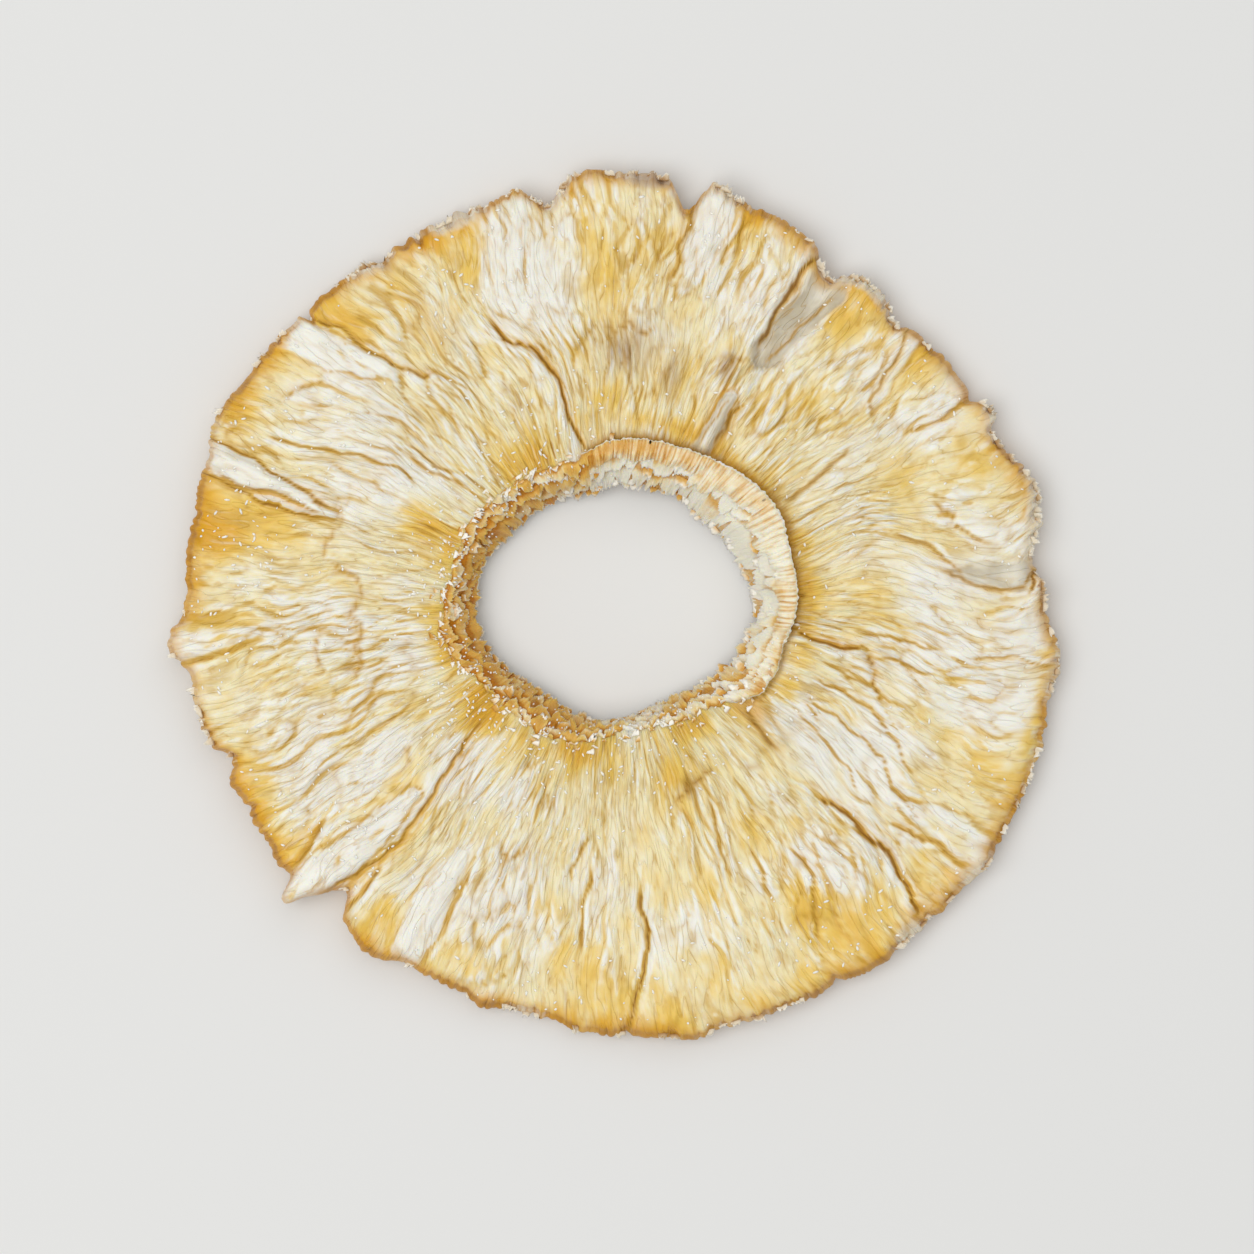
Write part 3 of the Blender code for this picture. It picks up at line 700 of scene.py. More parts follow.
def flesh():
    mesh = to_mesh(washer(), "flesh")
    blank = read_places(mesh)
    fibre = np.degrees(np.arctan2(blank[:, 1], blank[:, 0])) % 360
    across = np.clip(np.round(np.hypot(blank[:, 0], blank[:, 1]) - 1, 4), 0, 1)
    up = np.clip(np.round(blank[:, 2], 4), 0, 1)

    top_x, top_y, high, marks = top_of(fibre, across)
    loops = np.round(across, 3) + 2 * np.round(up, 2)
    # hollow and dip say how far each place lies below or above its neighbours; the finish paints shade into the low
    # places and highlight onto the high ones.
    for name, spread in (("hollow", 0.75), ("dip", 2.25)):
        marks[name] = hollow(loops, fibre, high, spread)
    under_x, under_y, low = under_of(fibre, across)
    low = low + WALL_FOOT * (1 - smooth(across / 0.1))
    high = np.maximum(high, low + 0.8)
    bend = up ** (1 + 1.2 * collar(fibre) * (across == 0))
    x, y, z = under_x + (top_x - under_x) * bend, under_y + (top_y - under_y) * bend, low + (high - low) * up
    beads = plump(ring_noise(fibre, 0, 250, 1, 41), 0.22) - 0.6
    beads = beads * (0.16 + 0.3 * gate(fibre, 0, 40, 1, 42)) + 0.4 * ring_noise(fibre, 0, 100, 1, 43)
    torn = patches(fibre, rim_radius(fibre), FRAYED)
    torn = torn * (ring_noise(fibre, 0, 300, 1, 44) + 0.6 * ring_noise(fibre, 0, 120, 1, 45))
    edge = np.clip((across - 0.97) / 0.03, 0, 1) * smooth(up * 3 + 0.2)
    push = edge * (beads + 0.8 * torn + 0.1) + (across == 1) * RIM_BULGE * 4 * up * (1 - up)
    length = np.hypot(x, y)
    x, y = x * (1 + push / length), y * (1 + push / length)
    z = z + 0.8 * torn * edge * up
    set_places(mesh, x, y, z)
    roll_out(mesh, blank, across, up)
    marks["frayed"] = np.clip((across - 0.93) / 0.05, 0, 1) * patches(fibre, rim_radius(fibre), FRAYED) * (up > 0)
    marks["brink"] = np.clip((across - 0.975) / 0.02, 0, 1) * (up > 0.3)
    marks["side"] = np.where((across == 1) | (across == 0), 1 - up, 0) + (up == 0)
    set_marks(mesh, marks)
    set_grain(mesh, *at(fibre, 28), np.hypot(x, y))
    mesh.shade_smooth()
    piece = as_piece("flesh", mesh, flesh_finish())
    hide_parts("pineapple_ring")
    return piece


# ---------------------------------------------------------------- the frayed core


def band():
    """A thin closed band. Its radii less 2 are shares across, its height is 1 in front and 0 behind."""
    front = [(k / CORE_LOOPS, 1) for k in range(CORE_LOOPS + 1)]
    back = [(1 - k / 4, 0) for k in range(5)]
    bm = bmesh.new()
    corners = [bm.verts.new((2 + across, 0, up)) for across, up in front + back]
    loop = [bm.edges.new((a, b)) for a, b in zip(corners, corners[1:] + corners[:1])]
    bmesh.ops.spin(
        bm, geom=corners + loop, cent=(0, 0, 0), axis=(0, 0, 1),
        angle=2 * math.pi, steps=CORE_STEPS, use_merge=True,
    )
    bmesh.ops.remove_doubles(bm, verts=bm.verts, dist=1e-5)
    bmesh.ops.recalc_face_normals(bm, faces=bm.faces)
    return bm


def shingles(angle, down, count, seed):
    """Rows of overlapping ragged plates, one row begun at each whole number of down.

    Gives how far along its plate each place lies, 0 at the root and 1 at the tip, how far across
    it, from -1 to 1, and a random number that the plate has.
    """
    rows = 16
    random = np.random.default_rng(seed)
    numbers, tips = random.uniform(-1, 1, (rows, count)), random.uniform(0.75, 1.5, (rows, count))
    along, across, number = (np.zeros(down.shape) for _ in range(3))
    for back in (0, 1):
        row = np.floor(down).astype(int) - back
        place = angle * count / 360 + 0.5 * (row % 2) + 0.5 * ring_noise(angle, down, count, 1.5, seed)
        column = np.floor(place).astype(int)
        u, plate = 2 * (place - column) - 1, (row % rows, column % count)
        teeth = 0.42 * noise(angle * 4 * count / 360, row * 0.37, 4 * count, seed + 1)
        tip = tips[plate] * (1 - 0.35 * u * u) + teeth
        covered = down - row < tip
        along = np.where(covered, (down - row) / np.maximum(tip, 0.2), along)
        across, number = np.where(covered, u, across), np.where(covered, numbers[plate], number)
    return along, across, number


def core_profile(angle, down):
    """Radius and height of the core's face, down being 0 at its crest and 1 at the edge of the hole."""
    share = collar(angle)
    core, hole = core_radius(angle), around(HOLE_RADII, angle) + 0.4
    low = UNDER_LIFT + waves(angle, UNDER_WAVES) + WALL_FOOT
    high = CORE_TOP - 0.25 + (COLLAR_RISE - 0.15) * share
    fallen = np.abs(down) ** (2.0 + 0.4 * share)
    return core - (core - hole) * down, high - (high - low) * fallen


PALE_CORE = (
    (26, 0.4, 72, 1.5, 1.0), (84, 0.5, 20, 1.5, 0.8), (345, 0.5, 20, 1.5, 0.5), (138, 0.2, 9, 0.8, 0.3),
    (280, 0.5, 14, 1.5, 0.5), (232, 0.5, 14, 1.5, 0.15),
)


def core():
    """The frayed core: a ribbed collar where it has curled up, and rows of ragged scales elsewhere."""
    mesh = to_mesh(band(), "core")
    blank = read_places(mesh)
    angle = np.degrees(np.arctan2(blank[:, 1], blank[:, 0])) % 360
    place = np.hypot(blank[:, 0], blank[:, 1]) - 2
    front = np.round(blank[:, 2])
    share = collar(angle)
    down = np.clip((place - CORE_TUCK) / (1 - CORE_TUCK), 0, 1)
    tuck = np.clip(1 - place / CORE_TUCK, 0, 1)

    bent = angle + 2.5 * ring_noise(angle, 3 * down, 30, 1.2, 71) + 1.0 * ring_noise(angle, 3 * down, 90, 1, 72)
    swung = angle + 0.35 * (bent - angle)
    ribs = plump(ring_noise(swung, 2 * down, 150, 2.2, 74), 0.24)
    fine_ribs = plump(ring_noise(swung, 2 * down, 420, 2, 75), 0.25)
    pleats = ring_noise(swung, 3 * down, 46, 1.2, 76)
    along, u, number = shingles(bent + 1.5 * pleats, 3.3 * down + 0.9 * pleats, 52, 77)
    ribbed = share * smooth((0.50 + 0.35 * pleats - down) / 0.08)
    scaled = 0.05 + 0.42 * along ** 1.4 + 0.10 * (1 - u * u) + 0.13 * number + 0.08 * fine_ribs + 0.3 * pleats
    relief = ribbed * (0.46 * ribs + 0.16 * fine_ribs + 0.55 * pleats + 0.18) + (1 - ribbed) * scaled
    relief = relief * smooth(down * 12) * front - 0.35 * (1 - front)

    serration = 0.8 * ring_noise(angle, 0, 300, 1, 78) + 0.5 * ring_noise(angle, 0, 120, 1, 79)
    crest = np.exp(-(down / 0.04) ** 2) * (1 - tuck)
    teeth = 0.55 * ring_noise(angle, 0, 84, 1, 80) + 0.40 * ring_noise(angle, 0, 230, 1, 81)
    radius, z = core_profile(angle, down)
    slope = core_profile(angle, down + 0.01)
    run, fall = radius - slope[0], z - slope[1]
    steep = np.hypot(run, fall)
    radius = radius - relief * fall / steep + teeth * smooth((down - 0.8) / 0.2)
    z = z + relief * run / steep + 0.45 * crest * serration * (0.3 + 0.7 * share)
    radius = radius + 0.35 * tuck * (1 - share) + 0.25 * serration * crest - 0.15 * tuck * share
    z = z - (0.5 + 2.6 * share) * tuck
    set_places(mesh, *at(angle, radius), z)

    edge = smooth((along - 0.84) / 0.14) * (1 - ribbed) * (0.15 + 0.85 * gate(angle, 3 * down, 130, 0.7, 83))
    # The valley mark darkens the rib valleys, partly their own amber and partly painted shade. It is painted shade at
    # each scale's root under the row above and where the core tucks under the collar. The ripe mark is partly ripeness
    # and partly painted shade, lowered toward the scales' tips so their roots stay darker.
    set_marks(mesh, {
        "valley": (0.6 * (1 - ribs) ** 2 + 0.5 * (1 - fine_ribs)) * ribbed + (1 - ribbed) * (1 - smooth(along / 0.5)) + tuck * share,
        "frost": np.maximum(np.maximum(edge, crest * (0.5 + 0.7 * share)), smooth((down - 0.95) / 0.04)),
        "tint": 0.9 * number * (1 - ribbed) + pleats + 1.0 * ring_noise(angle, 3 * down, 24, 1.5, 82),
        "ripeness_and_shade": 1.25 - 1.25 * patches(angle, down, PALE_CORE) - 0.30 * (1 - ribbed) * smooth((along - 0.3) / 0.7),
    })
    set_grain(mesh, *at(swung, 14), 8 * down)
    mesh.shade_smooth()
    return as_piece("core", mesh, core_finish("frayed_core", MILK, TAN, BRONZE, 0.5))


def thicken(piece, thickness):
    solidify = piece.modifiers.new("thickness", "SOLIDIFY")
    solidify.thickness = thickness * MM
    solidify.offset = -1


def plates(name, finish, roots, along, side, length, width, seed, ripeness_and_shade, ragged=0.3, curl=0.2, taper=0.3, frost=1):
    """Thin leaf-like plates, one from each root, running along and bent up at their ragged tips."""
    random = np.random.default_rng(seed)
    bm = bmesh.new()
    for _ in roots:
        bmesh.ops.create_grid(bm, x_segments=4, y_segments=3, size=1)
    mesh = to_mesh(bm, name)
    blank = read_places(mesh).reshape(len(roots), 20, 3)
    u, v = blank[..., 0:1], (blank[..., 1:2] + 1) / 2
    column = np.round((u[..., 0] + 1) * 2).astype(int)
    jag = np.take_along_axis(random.uniform(-1, 1, (len(roots), 5)), column, axis=1)[..., None]
    bend = random.uniform(0.4, 1.6, (len(roots), 1, 1)) * curl
    cup = random.uniform(-0.3, 0.15, (len(roots), 1, 1))
    swerve = random.uniform(-0.25, 0.25, (len(roots), 1, 1))
    up = unit(np.cross(side, along))[:, None]
    length, width = length[:, None, None], width[:, None, None]
    places = roots[:, None] + along[:, None] * length * v * (1 + ragged * jag * v)
    places = places + side[:, None] * (width * u * (1 - taper * v ** 2) / 2 + swerve * length * v ** 2)
    places = places + up * (bend * length * v ** 2 + cup * width * u ** 2 + 0.05 * jag * v)
    x, y, z = places.reshape(-1, 3).T
    set_places(mesh, x, y, z, 0.13)
    own = random.uniform(-1, 1, (len(roots), 1)) * np.ones((1, 20))
    # The valley mark is painted shade at each plate's root, and the ripe mark is lowered toward the tip for the same
    # painted shade at the root.
    set_marks(mesh, {
        "valley": (0.6 * (1 - v[..., 0])).ravel(),
        "frost": frost * np.clip(v[..., 0] ** 3 * (1 + 0.4 * jag[..., 0]) + 0.45 * u[..., 0] ** 4, 0, 1).ravel(),
        "tint": own.ravel(),
        "ripeness_and_shade": (np.broadcast_to(np.asarray(ripeness_and_shade)[..., None], own.shape) + 0.4 * own - 0.25 * v[..., 0]).ravel(),
    })
    set_grain(mesh, x, y, z)
    mesh.shade_smooth()
    piece = as_piece(name, mesh, finish)
    thicken(piece, 0.1)
    return piece


def core_frame(angle, place):
    """Roots on the core's face, with the directions down it, along it and out of it."""
    radius, z = core_profile(angle, place)
    here = np.column_stack((*at(angle, radius), z))
    radius, z = core_profile(angle, place + 0.02)
    down = unit(np.column_stack((*at(angle, radius), z)) - here)
    side = unit(np.column_stack((-np.sin(np.radians(angle)), np.cos(np.radians(angle)), 0 * angle)))
    out = unit(np.cross(down, side))
    out = out * np.sign(out[:, 2:3])
    return here, down, side, out


def core_scales(finish):
    """Rows of torn scales that hang down the core's wall, each row over the next."""
    random = np.random.default_rng(81)
    angles, places = [], []
    for row, place in enumerate((0.30, 0.62, 0.90)):
        row_angles = (np.arange(0, 360, 6) + 3 * (row % 2) + random.uniform(-2.5, 2.5, 60)) % 360
        keep = ((collar(row_angles) < 0.5) | (place > 0.55)) & (random.uniform(0, 1, 60) < 0.5 + 0.5 * (row > 1))
        angles.append(row_angles[keep])
        places.append(np.full(keep.sum(), place) + random.uniform(-0.06, 0.06, keep.sum()))
    angle, place = np.concatenate(angles), np.clip(np.concatenate(places), 0, 1)
    roots, down, side, out = core_frame(angle, place)
    tilt = random.uniform(0.0, 0.25, (len(angle), 1))
    along = unit(down + out * tilt + side * random.uniform(-0.3, 0.3, (len(angle), 1)))
    roots = roots + out * 0.3
    length = random.uniform(0.5, 1.0, len(angle))
    width = random.uniform(0.7, 1.4, len(angle))
    ripeness_and_shade = 1.2 - 1.1 * patches(angle, place, PALE_CORE)
    return plates("core_scales", finish, roots, along, side, length, width, 82, ripeness_and_shade, ragged=0.4, frost=0.8)


def crest_frill(finish):
    """Shreds of the core that lie over the edge of the flesh and point into the hole."""
    random = np.random.default_rng(83)
    fibre = random.uniform(0, 360, 200)
    out = random.uniform(-0.2, 1.0, 200) ** 2 * 1.3
    keep = (collar(fibre) < 0.3) | (random.uniform(0, 1, 200) < 0.05)
    fibre, out = fibre[keep], out[keep]
    x, y, z, _ = top_of(fibre, out / 24)
    inward = unit(np.column_stack((-x, -y, 0 * x)))
    side = unit(np.column_stack((y, -x, 0 * x)))
    lean = np.column_stack((random.uniform(-0.2, 0.35, len(x)), random.uniform(-0.8, 0.8, len(x))))
    along = unit(inward + np.array((0, 0, 1.0)) * lean[:, :1] + side * lean[:, 1:])
    length, width = random.uniform(0.3, 0.7, len(x)), random.uniform(0.3, 0.8, len(x))
    roots = np.column_stack((x, y, z + 0.02))
    ripeness_and_shade = random.uniform(0.1, 0.7, len(x))
    return plates("crest_frill", finish, roots, along, side, length, width, 84, ripeness_and_shade, ragged=0.4, taper=0.6)


# ---------------------------------------------------------------- the frayed rim

FRAYED = (
    (14, 40.5, 6, 4, 1.0), (27, 39.5, 2.5, 4, 0.8), (52, 38, 7, 4, 0.9), (75, 40, 3, 4, 0.7),
    (85.5, 41, 3.5, 4, 1.0), (97.5, 39, 3, 4, 0.9), (112.5, 39.5, 4, 4, 1.0), (124, 39, 3.5, 4, 0.8),
    (258, 40, 3, 4, 0.6), (315, 42, 3, 4, 1.0), (326, 43, 2.5, 4, 0.8), (353, 42, 5, 4, 0.7),
    (183, 41, 3, 4, 0.4), (196, 40, 8, 4, 0.4), (287, 42, 12, 4, 0.35), (340, 42, 6, 4, 0.4),
)


def rim_fringe(finish):
    """Papery shreds that stick out round the rim."""
    random = np.random.default_rng(91)
    fibre = random.uniform(0, 360, 800)
    fibre = fibre[random.uniform(0, 1, 800) < 0.04 + 0.6 * patches(fibre, rim_radius(fibre), FRAYED)]
    x, y, z, _ = top_of(fibre, np.full(len(fibre), 0.999))
    outward = unit(np.column_stack((x, y, 0 * x)))
    roots = np.column_stack((x, y, z - random.uniform(0.1, 0.7, len(fibre)))) + 0.1 * outward
    side = unit(np.column_stack((-y, x, 0 * x)))
    along = unit(outward + np.array((0, 0, 1.0)) * random.uniform(-0.2, 0.2, (len(fibre), 1))
                 + side * random.uniform(-0.4, 0.4, (len(fibre), 1)))
    length, width = random.uniform(0.35, 0.65, len(fibre)), random.uniform(0.5, 1.2, len(fibre))
    ripeness_and_shade = 0.15 + 0.8 * patches(fibre, rim_radius(fibre), BROWN)
    return plates("rim_fringe", finish, roots, along, side, length, width, 92, ripeness_and_shade, ragged=0.6, curl=0.1, taper=0.3, frost=0.7)


SUGARY = (
    (170, 37, 16, 6, 1.0), (220, 37, 16, 5, 0.9), (307, 38, 14, 5, 0.9), (150, 38, 8, 3, 0.5),
    (265, 37, 12, 4, 0.5), (125, 17, 30, 3, 0.9), (170, 18, 30, 3, 0.8), (220, 17, 30, 4, 0.9),
    (280, 15, 25, 3, 0.7), (335, 40, 10, 4, 0.5), (60, 37, 30, 3, 0.35), (115, 37, 12, 4, 0.5),
    (15, 38, 15, 4, 0.35), (345, 18, 12, 2, 0.5),
)


def drop(bm, place, along, side, out, sizes):
    """One small rounded drop, with its half lengths in three directions."""
    turned = Matrix((along, side, out)).transposed().to_4x4()
    shape = Matrix.Translation(place) @ turned @ Matrix.Diagonal((*sizes, 1))
    bmesh.ops.create_icosphere(bm, subdivisions=1, radius=1, matrix=shape)


def sugar_specks():
    """Tiny glossy drops of dried juice on the flesh and down the core."""
    random = np.random.default_rng(95)
    fibre, across = random.uniform(0, 360, 13000), random.uniform(0.0, 0.985, 13000)
    core = around(CORE_RADII, fibre)
    radius = core + across * (rim_radius(fibre) - core)
    keep = random.uniform(0, 1, 13000) < 0.02 + 0.3 * patches(fibre, radius, SUGARY)
    x, y, z, _ = top_of(fibre[keep], across[keep])
    bm = bmesh.new()
    for place in zip(x, y, z + 0.03):
        aim, size = random.uniform(0, 2 * math.pi), random.uniform(0.06, 0.14)
        along, side = (math.cos(aim), math.sin(aim), 0), (-math.sin(aim), math.cos(aim), 0)
        drop(bm, place, along, side, (0, 0, 1), (size * random.uniform(0.9, 2.8), size, size * 0.7))
    angle, place = random.uniform(0, 360, 520), random.uniform(0.02, 0.9, 520)
    keep = random.uniform(0, 1, 520) < 1 - 0.8 * collar(angle)
    roots, down, side, out = core_frame(angle[keep], place[keep])
    for place, *frame_at in zip(roots + out * random.uniform(0.25, 0.5, (len(roots), 1)), down, side, out):
        size = random.uniform(0.07, 0.13)
        drop(bm, place, *frame_at, (size * random.uniform(1.0, 2.4), size, size * 0.7))
    mesh = to_mesh(bm, "sugar_specks")
    set_places(mesh, *read_places(mesh).T)
    mesh.shade_smooth()
    return as_piece("sugar_specks", mesh, sugar_finish())


# ---------------------------------------------------------------- finishes


def tone(red, green, blue):
    """A colour given as screen values from 0 to 255."""
    parts = [value / 255 for value in (red, green, blue)]
    return tuple(p / 12.92 if p <= 0.04045 else ((p + 0.055) / 1.055) ** 2.4 for p in parts) + (1,)


class Number:
    """A number that a shader works out. Arithmetic on it adds Math nodes."""

    def __init__(self, finish, socket):
        self.finish, self.socket = finish, socket

    def math(self, operation, *others):
        node = self.finish.add("ShaderNodeMath", {"operation": operation}, dict(enumerate((self, *others))))
        return Number(self.finish, node.outputs[0])

    def __add__(self, other):
        return self.math("ADD", other)

    def __mul__(self, other):
        return self.math("MULTIPLY", other)

    def __sub__(self, other):
        return self.math("SUBTRACT", other)

    def __rsub__(self, other):
        return (self * -1) + other

    def __pow__(self, other):
        return self.math("POWER", other)

    def __abs__(self):
        return self.math("ABSOLUTE")

    __radd__, __rmul__ = __add__, __mul__

    def step(self, low, high):
        """0 where this is under low, 1 where it is over high, and a smooth step between."""
        node = self.finish.add(
            "ShaderNodeMapRange", {"interpolation_type": "SMOOTHSTEP"},
            {"Value": self, "From Min": low, "From Max": high},
        )
        return Number(self.finish, node.outputs["Result"])


class Finish:
    """A material built up from nodes round one Principled shader."""

    def __init__(self, name, **constants):
        self.material = bpy.data.materials.new(name)
        self.material.use_nodes = True
        self.tree = self.material.node_tree
        self.shader = self.tree.nodes["Principled BSDF"]
        for socket, value in constants.items():
            self.shader.inputs[socket.replace("_", " ")].default_value = value

    def feed(self, socket, value):
        if isinstance(value, Number):
            value = value.socket
        if isinstance(value, bpy.types.NodeSocket):
            self.tree.links.new(value, socket)
        else:
            socket.default_value = value

    def add(self, kind, settings=None, inputs=None):
        node = self.tree.nodes.new(kind)
        for name, value in (settings or {}).items():
            setattr(node, name, value)
        for name, value in (inputs or {}).items():
            self.feed(node.inputs[name], value)
        return node

    def mark(self, name):
        return Number(self, self.add("ShaderNodeAttribute", {"attribute_name": name}).outputs["Fac"])

    def vector(self, name):
        return self.add("ShaderNodeAttribute", {"attribute_name": name}).outputs["Vector"]

    def stretched(self, vector, scale):
        node = self.add("ShaderNodeVectorMath", {"operation": "MULTIPLY"}, {0: vector, 1: scale})
        return node.outputs["Vector"]

    def noise(self, vector, detail=2.0, roughness=0.5, distortion=0.0):
        node = self.add("ShaderNodeTexNoise", None, {
            "Vector": vector, "Scale": 1.0, "Detail": detail, "Roughness": roughness, "Distortion": distortion,
        })
        return Number(self, node.outputs["Fac"])

    def mix(self, a, b, share):
        node = self.add("ShaderNodeMix", {"data_type": "RGBA"})
        for place, value in ((0, share), (6, a), (7, b)):
            self.feed(node.inputs[place], value)
        return node.outputs[2]

    def bump(self, height, distance, strength=1.0, normal=None):
        node = self.add("ShaderNodeBump", None, {"Height": height, "Distance": distance, "Strength": strength})
        if normal is not None:
            self.feed(node.inputs["Normal"], normal)
        return node.outputs["Normal"]

    def wear(self, **sockets):
        for socket, value in sockets.items():
            self.feed(self.shader.inputs[socket.replace("_", " ")], value)
        return self.material


TAN, BRONZE, MILK = tone(232, 188, 96), tone(190, 120, 14), tone(246, 239, 218)
CREAM, IVORY = tone(240, 229, 186), tone(240, 240, 232)
GOLDEN, AMBER, OLIVE = tone(236, 201, 102), tone(222, 162, 26), tone(202, 166, 78)
OCHRE, UMBER, RUSSET = tone(200, 154, 52), tone(142, 88, 8), tone(192, 126, 18)
TAUPE, DUST, GRAVEL = tone(186, 175, 150), tone(228, 224, 212), tone(176, 164, 142)
CHALK, PAPER, BARK = tone(252, 248, 236), tone(226, 214, 190), tone(196, 164, 118)


def flesh_finish():
    fin = Finish("dried_flesh", Subsurface_Weight=0.4, Subsurface_Scale=0.0012, IOR=1.4, Specular_IOR_Level=0.3)
    fin.shader.inputs["Subsurface Radius"].default_value = (1.0, 0.82, 0.42)
    grain = fin.vector("grain")
    hair = fin.noise(fin.stretched(grain, (3.0, 3.0, 0.40)), detail=2)
    streak = fin.noise(fin.stretched(grain, (1.0, 1.0, 0.24)), detail=2)
    cloud = fin.noise(fin.stretched(grain, (0.30, 0.30, 0.22)), detail=3)
    deep = fin.noise(fin.stretched(grain, (0.7, 0.7, 0.35)), detail=2)
    lively = 1 - fin.mark("even") * 0.75
    hair, streak = (hair - 0.5) * lively + 0.5, (streak - 0.5) * lively + 0.5
    valley, crease, gold, tint = (fin.mark(name) for name in ("valley", "crease", "gold", "tint"))
    pale, brown, grey, side = (fin.mark(name) for name in ("pale", "brown", "grey", "side"))
    hollow, dip, rimward = (fin.mark(name) for name in ("hollow", "dip", "rimward"))
    lee_shadow, lip, rusty, frayed = (fin.mark(name) for name in ("lee_shadow", "lip", "rusty", "frayed"))

    # low darkens and warms hollows wherever it is used below: partly juice gathered there, partly painted shade. high
    # whitens ridge tops: partly drier flesh, partly painted highlight.
    low = (hollow.step(0.01, 0.20) + dip.step(0.1, 0.7) * 0.5) * (1 - grey * 0.7)
    high = (hollow * -1).step(0.0, 0.12) + (dip * -1).step(0.05, 0.6) * 0.6
    ripeness_and_shade = (gold * 0.9 + (streak - 0.5) * 0.95 + (cloud - 0.5) * 1.5 + tint * 0.22 - high * 0.15 + 0.08).step(0.0, 0.85)
    colour = fin.mix(CREAM, GOLDEN, ripeness_and_shade)
    # White: the flesh's own pale patches and raised lobes, with painted highlight on ridge tops and on the raised edges
    # of folds.
    white = (pale * 0.8 + (streak - 0.5) * 0.75 - (cloud - 0.5) * 1.3 - tint * 0.2 - gold * 0.5 + high * 0.4
             + lip * 0.6 + 0.04).step(0.05, 0.8)
    colour = fin.mix(colour, IVORY, white * 0.95)
    colour = fin.mix(colour, AMBER, (gold + (cloud - 0.5) * 0.9 + low * 0.25).step(0.60, 1.3) * 0.85)
    colour = fin.mix(colour, GOLDEN, low.step(0.0, 1.1) * 0.6)
    colour = fin.mix(colour, OLIVE, (deep + low * 0.16 - high * 0.12 - pale * 0.12).step(0.50, 0.72) * 0.50)
    colour = fin.mix(colour, IVORY, (0.5 - hair).step(0.02, 0.18) * 0.28)
    colour = fin.mix(colour, OLIVE, (hair - 0.5).step(0.03, 0.20) * (0.26 + low * 0.2))
    colour = fin.mix(colour, DUST, grey * 0.8)
    colour = fin.mix(colour, TAUPE, (grey * ((deep - 0.5) * 1.6 + streak + 0.4)).step(0.45, 1.1) * 0.8)
    # Ochre in wrinkle valleys: partly juice gathered there, partly painted shade.
    colour = fin.mix(colour, OCHRE, valley * (0.65 + (streak - 0.5) * 0.6) * (1 - grey * 0.6))
    fleck = fin.noise(fin.stretched(grain, (1.5, 1.5, 0.42)), detail=3)
    colour = fin.mix(colour, OCHRE, (fleck + low * 0.10 + gold * 0.04 - pale * 0.08).step(0.58, 0.70) * lively * 0.45)
    thin = fin.noise(fin.stretched(grain, (1.5, 1.5, 0.25)), detail=1)
    thread = 1 - abs(thin - 0.5).step(0.0, 0.028)
    colour = fin.mix(colour, OCHRE, thread * (deep + low * 0.2).step(0.46, 0.62) * 0.35)
    edge = (rimward + rusty * 0.4 + (streak - 0.5) * 0.9 + (cloud - 0.5) * 0.8 - pale * 0.4 - 0.2).step(0.1, 1.1)
    colour = fin.mix(colour, AMBER, edge * 0.8)
    line = rimward ** 3 * 0.8 + rusty * 0.6 + (streak - 0.5) * 0.9 + (cloud - 0.5) * 0.6 - pale * 0.2
    colour = fin.mix(colour, RUSSET, line.step(0.60, 1.3) * 0.5)
    outline = fin.mark("brink") * 0.8 + (streak - 0.5) * 1.8 + rusty * 0.5 - pale * 0.6
    colour = fin.mix(colour, UMBER, outline.step(0.8, 1.5) * 0.45)
    colour = fin.mix(colour, PAPER, (frayed * (hair + 0.5)).step(0.40, 0.90) * 0.8)
    colour = fin.mix(colour, MILK, (fin.mark("brink") * (frayed * 0.6 + hair)).step(0.65, 1.0) * 0.6)
    # Painted shadow beside folds, lobes and the collar from the lee mark, and painted shade in creases and the collar's
    # groove from the crease mark.
    colour = fin.mix(colour, AMBER, lee_shadow.step(0.0, 0.8) * (0.75 - grey * 0.6))
    colour = fin.mix(colour, RUSSET, lee_shadow.step(0.55, 1.1) * 0.8)
    colour = fin.mix(colour, OCHRE, crease.step(0.03, 0.6) * 0.65)
    colour = fin.mix(colour, UMBER, crease.step(0.4, 0.9) * 0.7)
    colour = fin.mix(colour, UMBER, (brown * (streak + 0.35)).step(0.25, 1.0) * 0.75)
    colour = fin.mix(colour, AMBER, side.step(0.0, 1.0) * 0.5)
    rough = 0.36 + (hair - 0.5) * 0.3
    bumps = fin.bump(hair * 0.6 + streak * 0.5 - thread * 0.1, 0.0004)
    return fin.wear(Base_Color=colour, Roughness=rough, Normal=bumps)


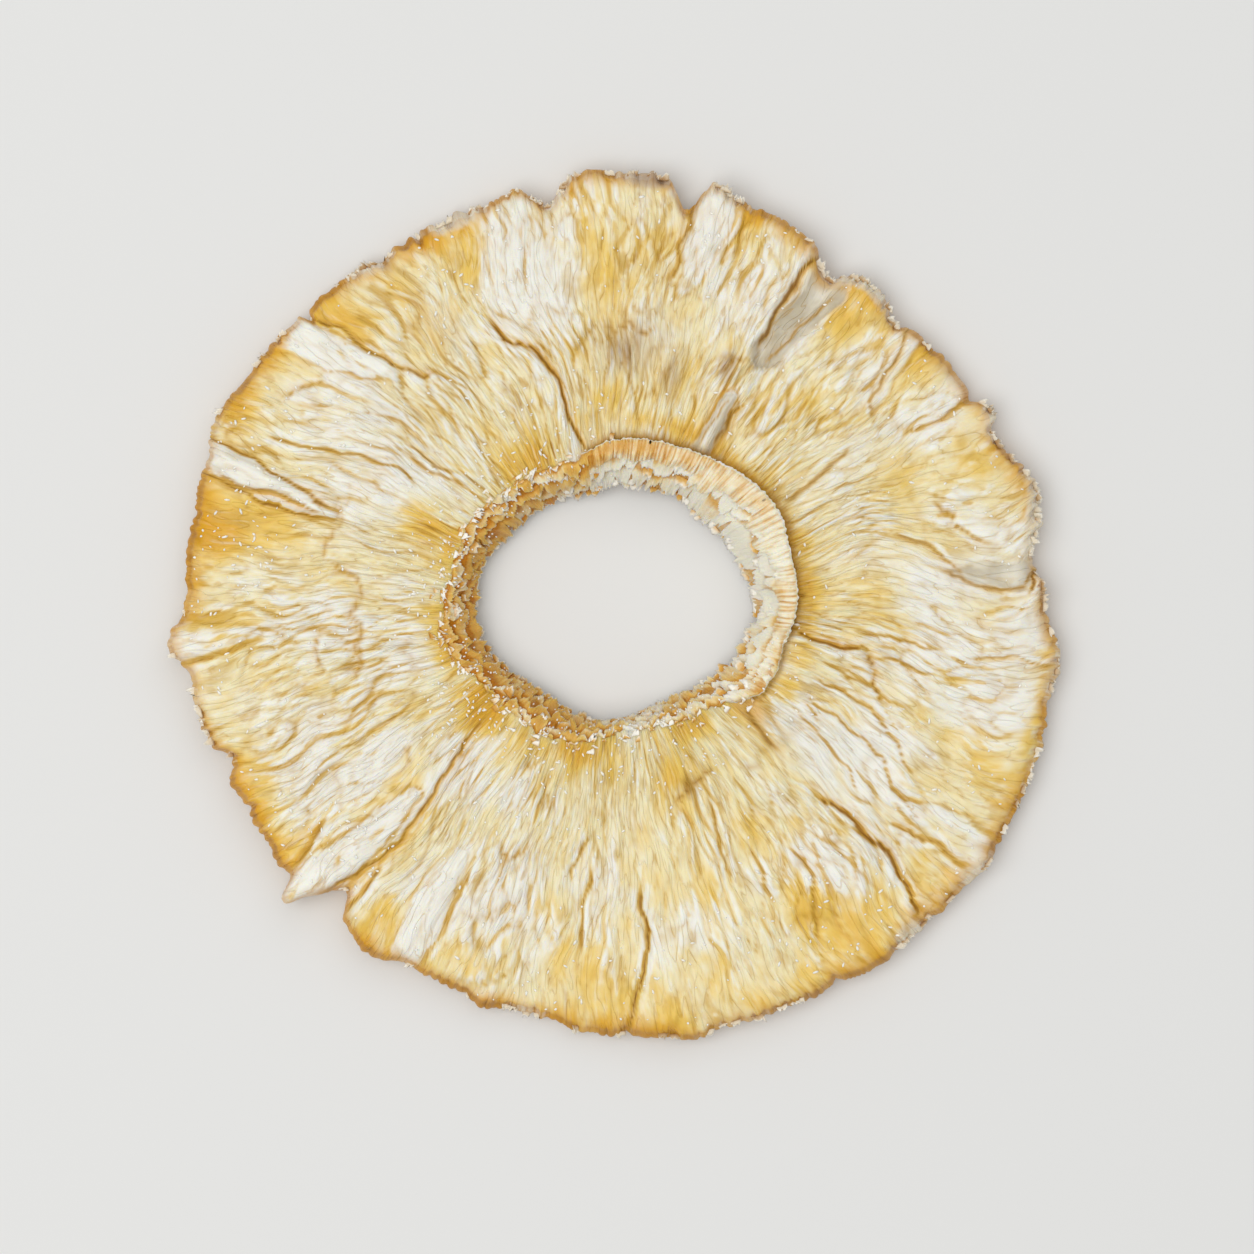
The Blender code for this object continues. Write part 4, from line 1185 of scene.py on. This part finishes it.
def core_finish(name, light, warm, deep, depth):
    """Tougher, half clear and sugary: amber below and white at every torn edge, with painted shade where the valley
    mark lies.
    """
    fin = Finish(name, Subsurface_Weight=depth, Subsurface_Scale=0.0014, IOR=1.4, Specular_IOR_Level=0.4)
    fin.shader.inputs["Subsurface Radius"].default_value = (1.0, 0.75, 0.35)
    grain = fin.vector("grain")
    place = fin.add("ShaderNodeTexCoord").outputs["Object"]
    mottle = fin.noise(fin.stretched(place, (900, 900, 900)), detail=4)
    grit = fin.noise(fin.stretched(place, (5200, 5200, 5200)), detail=2)
    hair = fin.noise(fin.stretched(grain, (3.2, 3.2, 0.5)), detail=2)
    valley, frost, tint, ripeness_and_shade = (fin.mark(name) for name in ("valley", "frost", "tint", "ripeness_and_shade"))
    # valley adds painted shade: it warms and deepens the colour at scale roots, in rib valleys and under the collar.
    warmth = (ripeness_and_shade + tint * 0.40 + (mottle - 0.5) * 0.8 + (hair - 0.5) * 0.5 + valley * 0.55).step(0.0, 1.1)
    colour = fin.mix(light, warm, warmth)
    deepness = (warmth * 0.5 + ripeness_and_shade * 0.2 + valley * 0.7 - frost * 0.3 + (hair - 0.5) * 0.4).step(0.35, 1.15)
    colour = fin.mix(colour, deep, deepness * (0.30 + ripeness_and_shade * 0.6))
    white = (frost + (mottle - 0.5) * 0.9 + (grit - 0.5) * 0.5 - ripeness_and_shade * 0.15).step(0.25, 0.8)
    colour = fin.mix(colour, CHALK, white * 0.9)
    bumps = fin.bump(grit * 0.6 + mottle * 0.4 + hair * 0.5, 0.00012)
    return fin.wear(Base_Color=colour, Roughness=0.36 + (grit - 0.5) * 0.4, Normal=bumps)


def sugar_finish():
    fin = Finish("sugar", Roughness=0.15, IOR=1.5)
    place = fin.add("ShaderNodeTexCoord").outputs["Object"]
    mottle = fin.noise(fin.stretched(place, (700, 700, 700)))
    return fin.wear(Base_Color=fin.mix(CHALK, IVORY, mottle.step(0.35, 0.65)))


# ---------------------------------------------------------------- the studio

LENS, SENSOR, VIEW_WIDTH = 100, 36, 119.13
CAMERA_X, CAMERA_Y = 1.22, -2.08
CAMERA_HEIGHT = VIEW_WIDTH * LENS / SENSOR + 2.5


def floor():
    bm = bmesh.new()
    bmesh.ops.create_grid(bm, x_segments=1, y_segments=1, size=1.5)
    piece = bpy.data.objects.new("floor", to_mesh(bm, "floor"))
    bpy.context.scene.collection.objects.link(piece)
    fin = Finish("pale_floor", Roughness=0.9)
    piece.data.materials.append(fin.wear(Base_Color=tone(226, 226, 224)))


def softbox(name, place, size, power, colour=(1, 1, 1)):
    lamp = bpy.data.lights.new(name, "AREA")
    lamp.shape, lamp.size, lamp.energy, lamp.color = "DISK", size, power, colour
    box = bpy.data.objects.new(name, lamp)
    box.location = place
    box.rotation_euler = (-Vector(place)).to_track_quat("-Z", "Y").to_euler()
    bpy.context.scene.collection.objects.link(box)


def studio():
    floor()
    softbox("key", (-0.26, -0.08, 0.80), 0.80, 4.4)
    softbox("fill", (0.25, 0.45, 0.8), 0.9, 1.6)
    world = bpy.data.worlds.new("room")
    world.use_nodes = True
    world.node_tree.nodes["Background"].inputs["Color"].default_value = (1, 1, 1, 1)
    world.node_tree.nodes["Background"].inputs["Strength"].default_value = 0.4
    bpy.context.scene.world = world
    lens = bpy.data.cameras.new("camera")
    lens.lens, lens.sensor_width, lens.clip_start = LENS, SENSOR, 0.01
    camera = bpy.data.objects.new("camera", lens)
    camera.location = (CAMERA_X * MM, CAMERA_Y * MM, CAMERA_HEIGHT * MM)
    bpy.context.scene.collection.objects.link(camera)
    bpy.context.scene.camera = camera
    bpy.context.scene.view_settings.view_transform = "Standard"


flesh()
core()
frayed = core_finish("frayed_core_scales", CHALK, TAN, BRONZE, 0)
core_scales(frayed)
crest_frill(frayed)
rim_fringe(core_finish("papery_rim", PAPER, BARK, UMBER, 0))
sugar_specks()
studio()
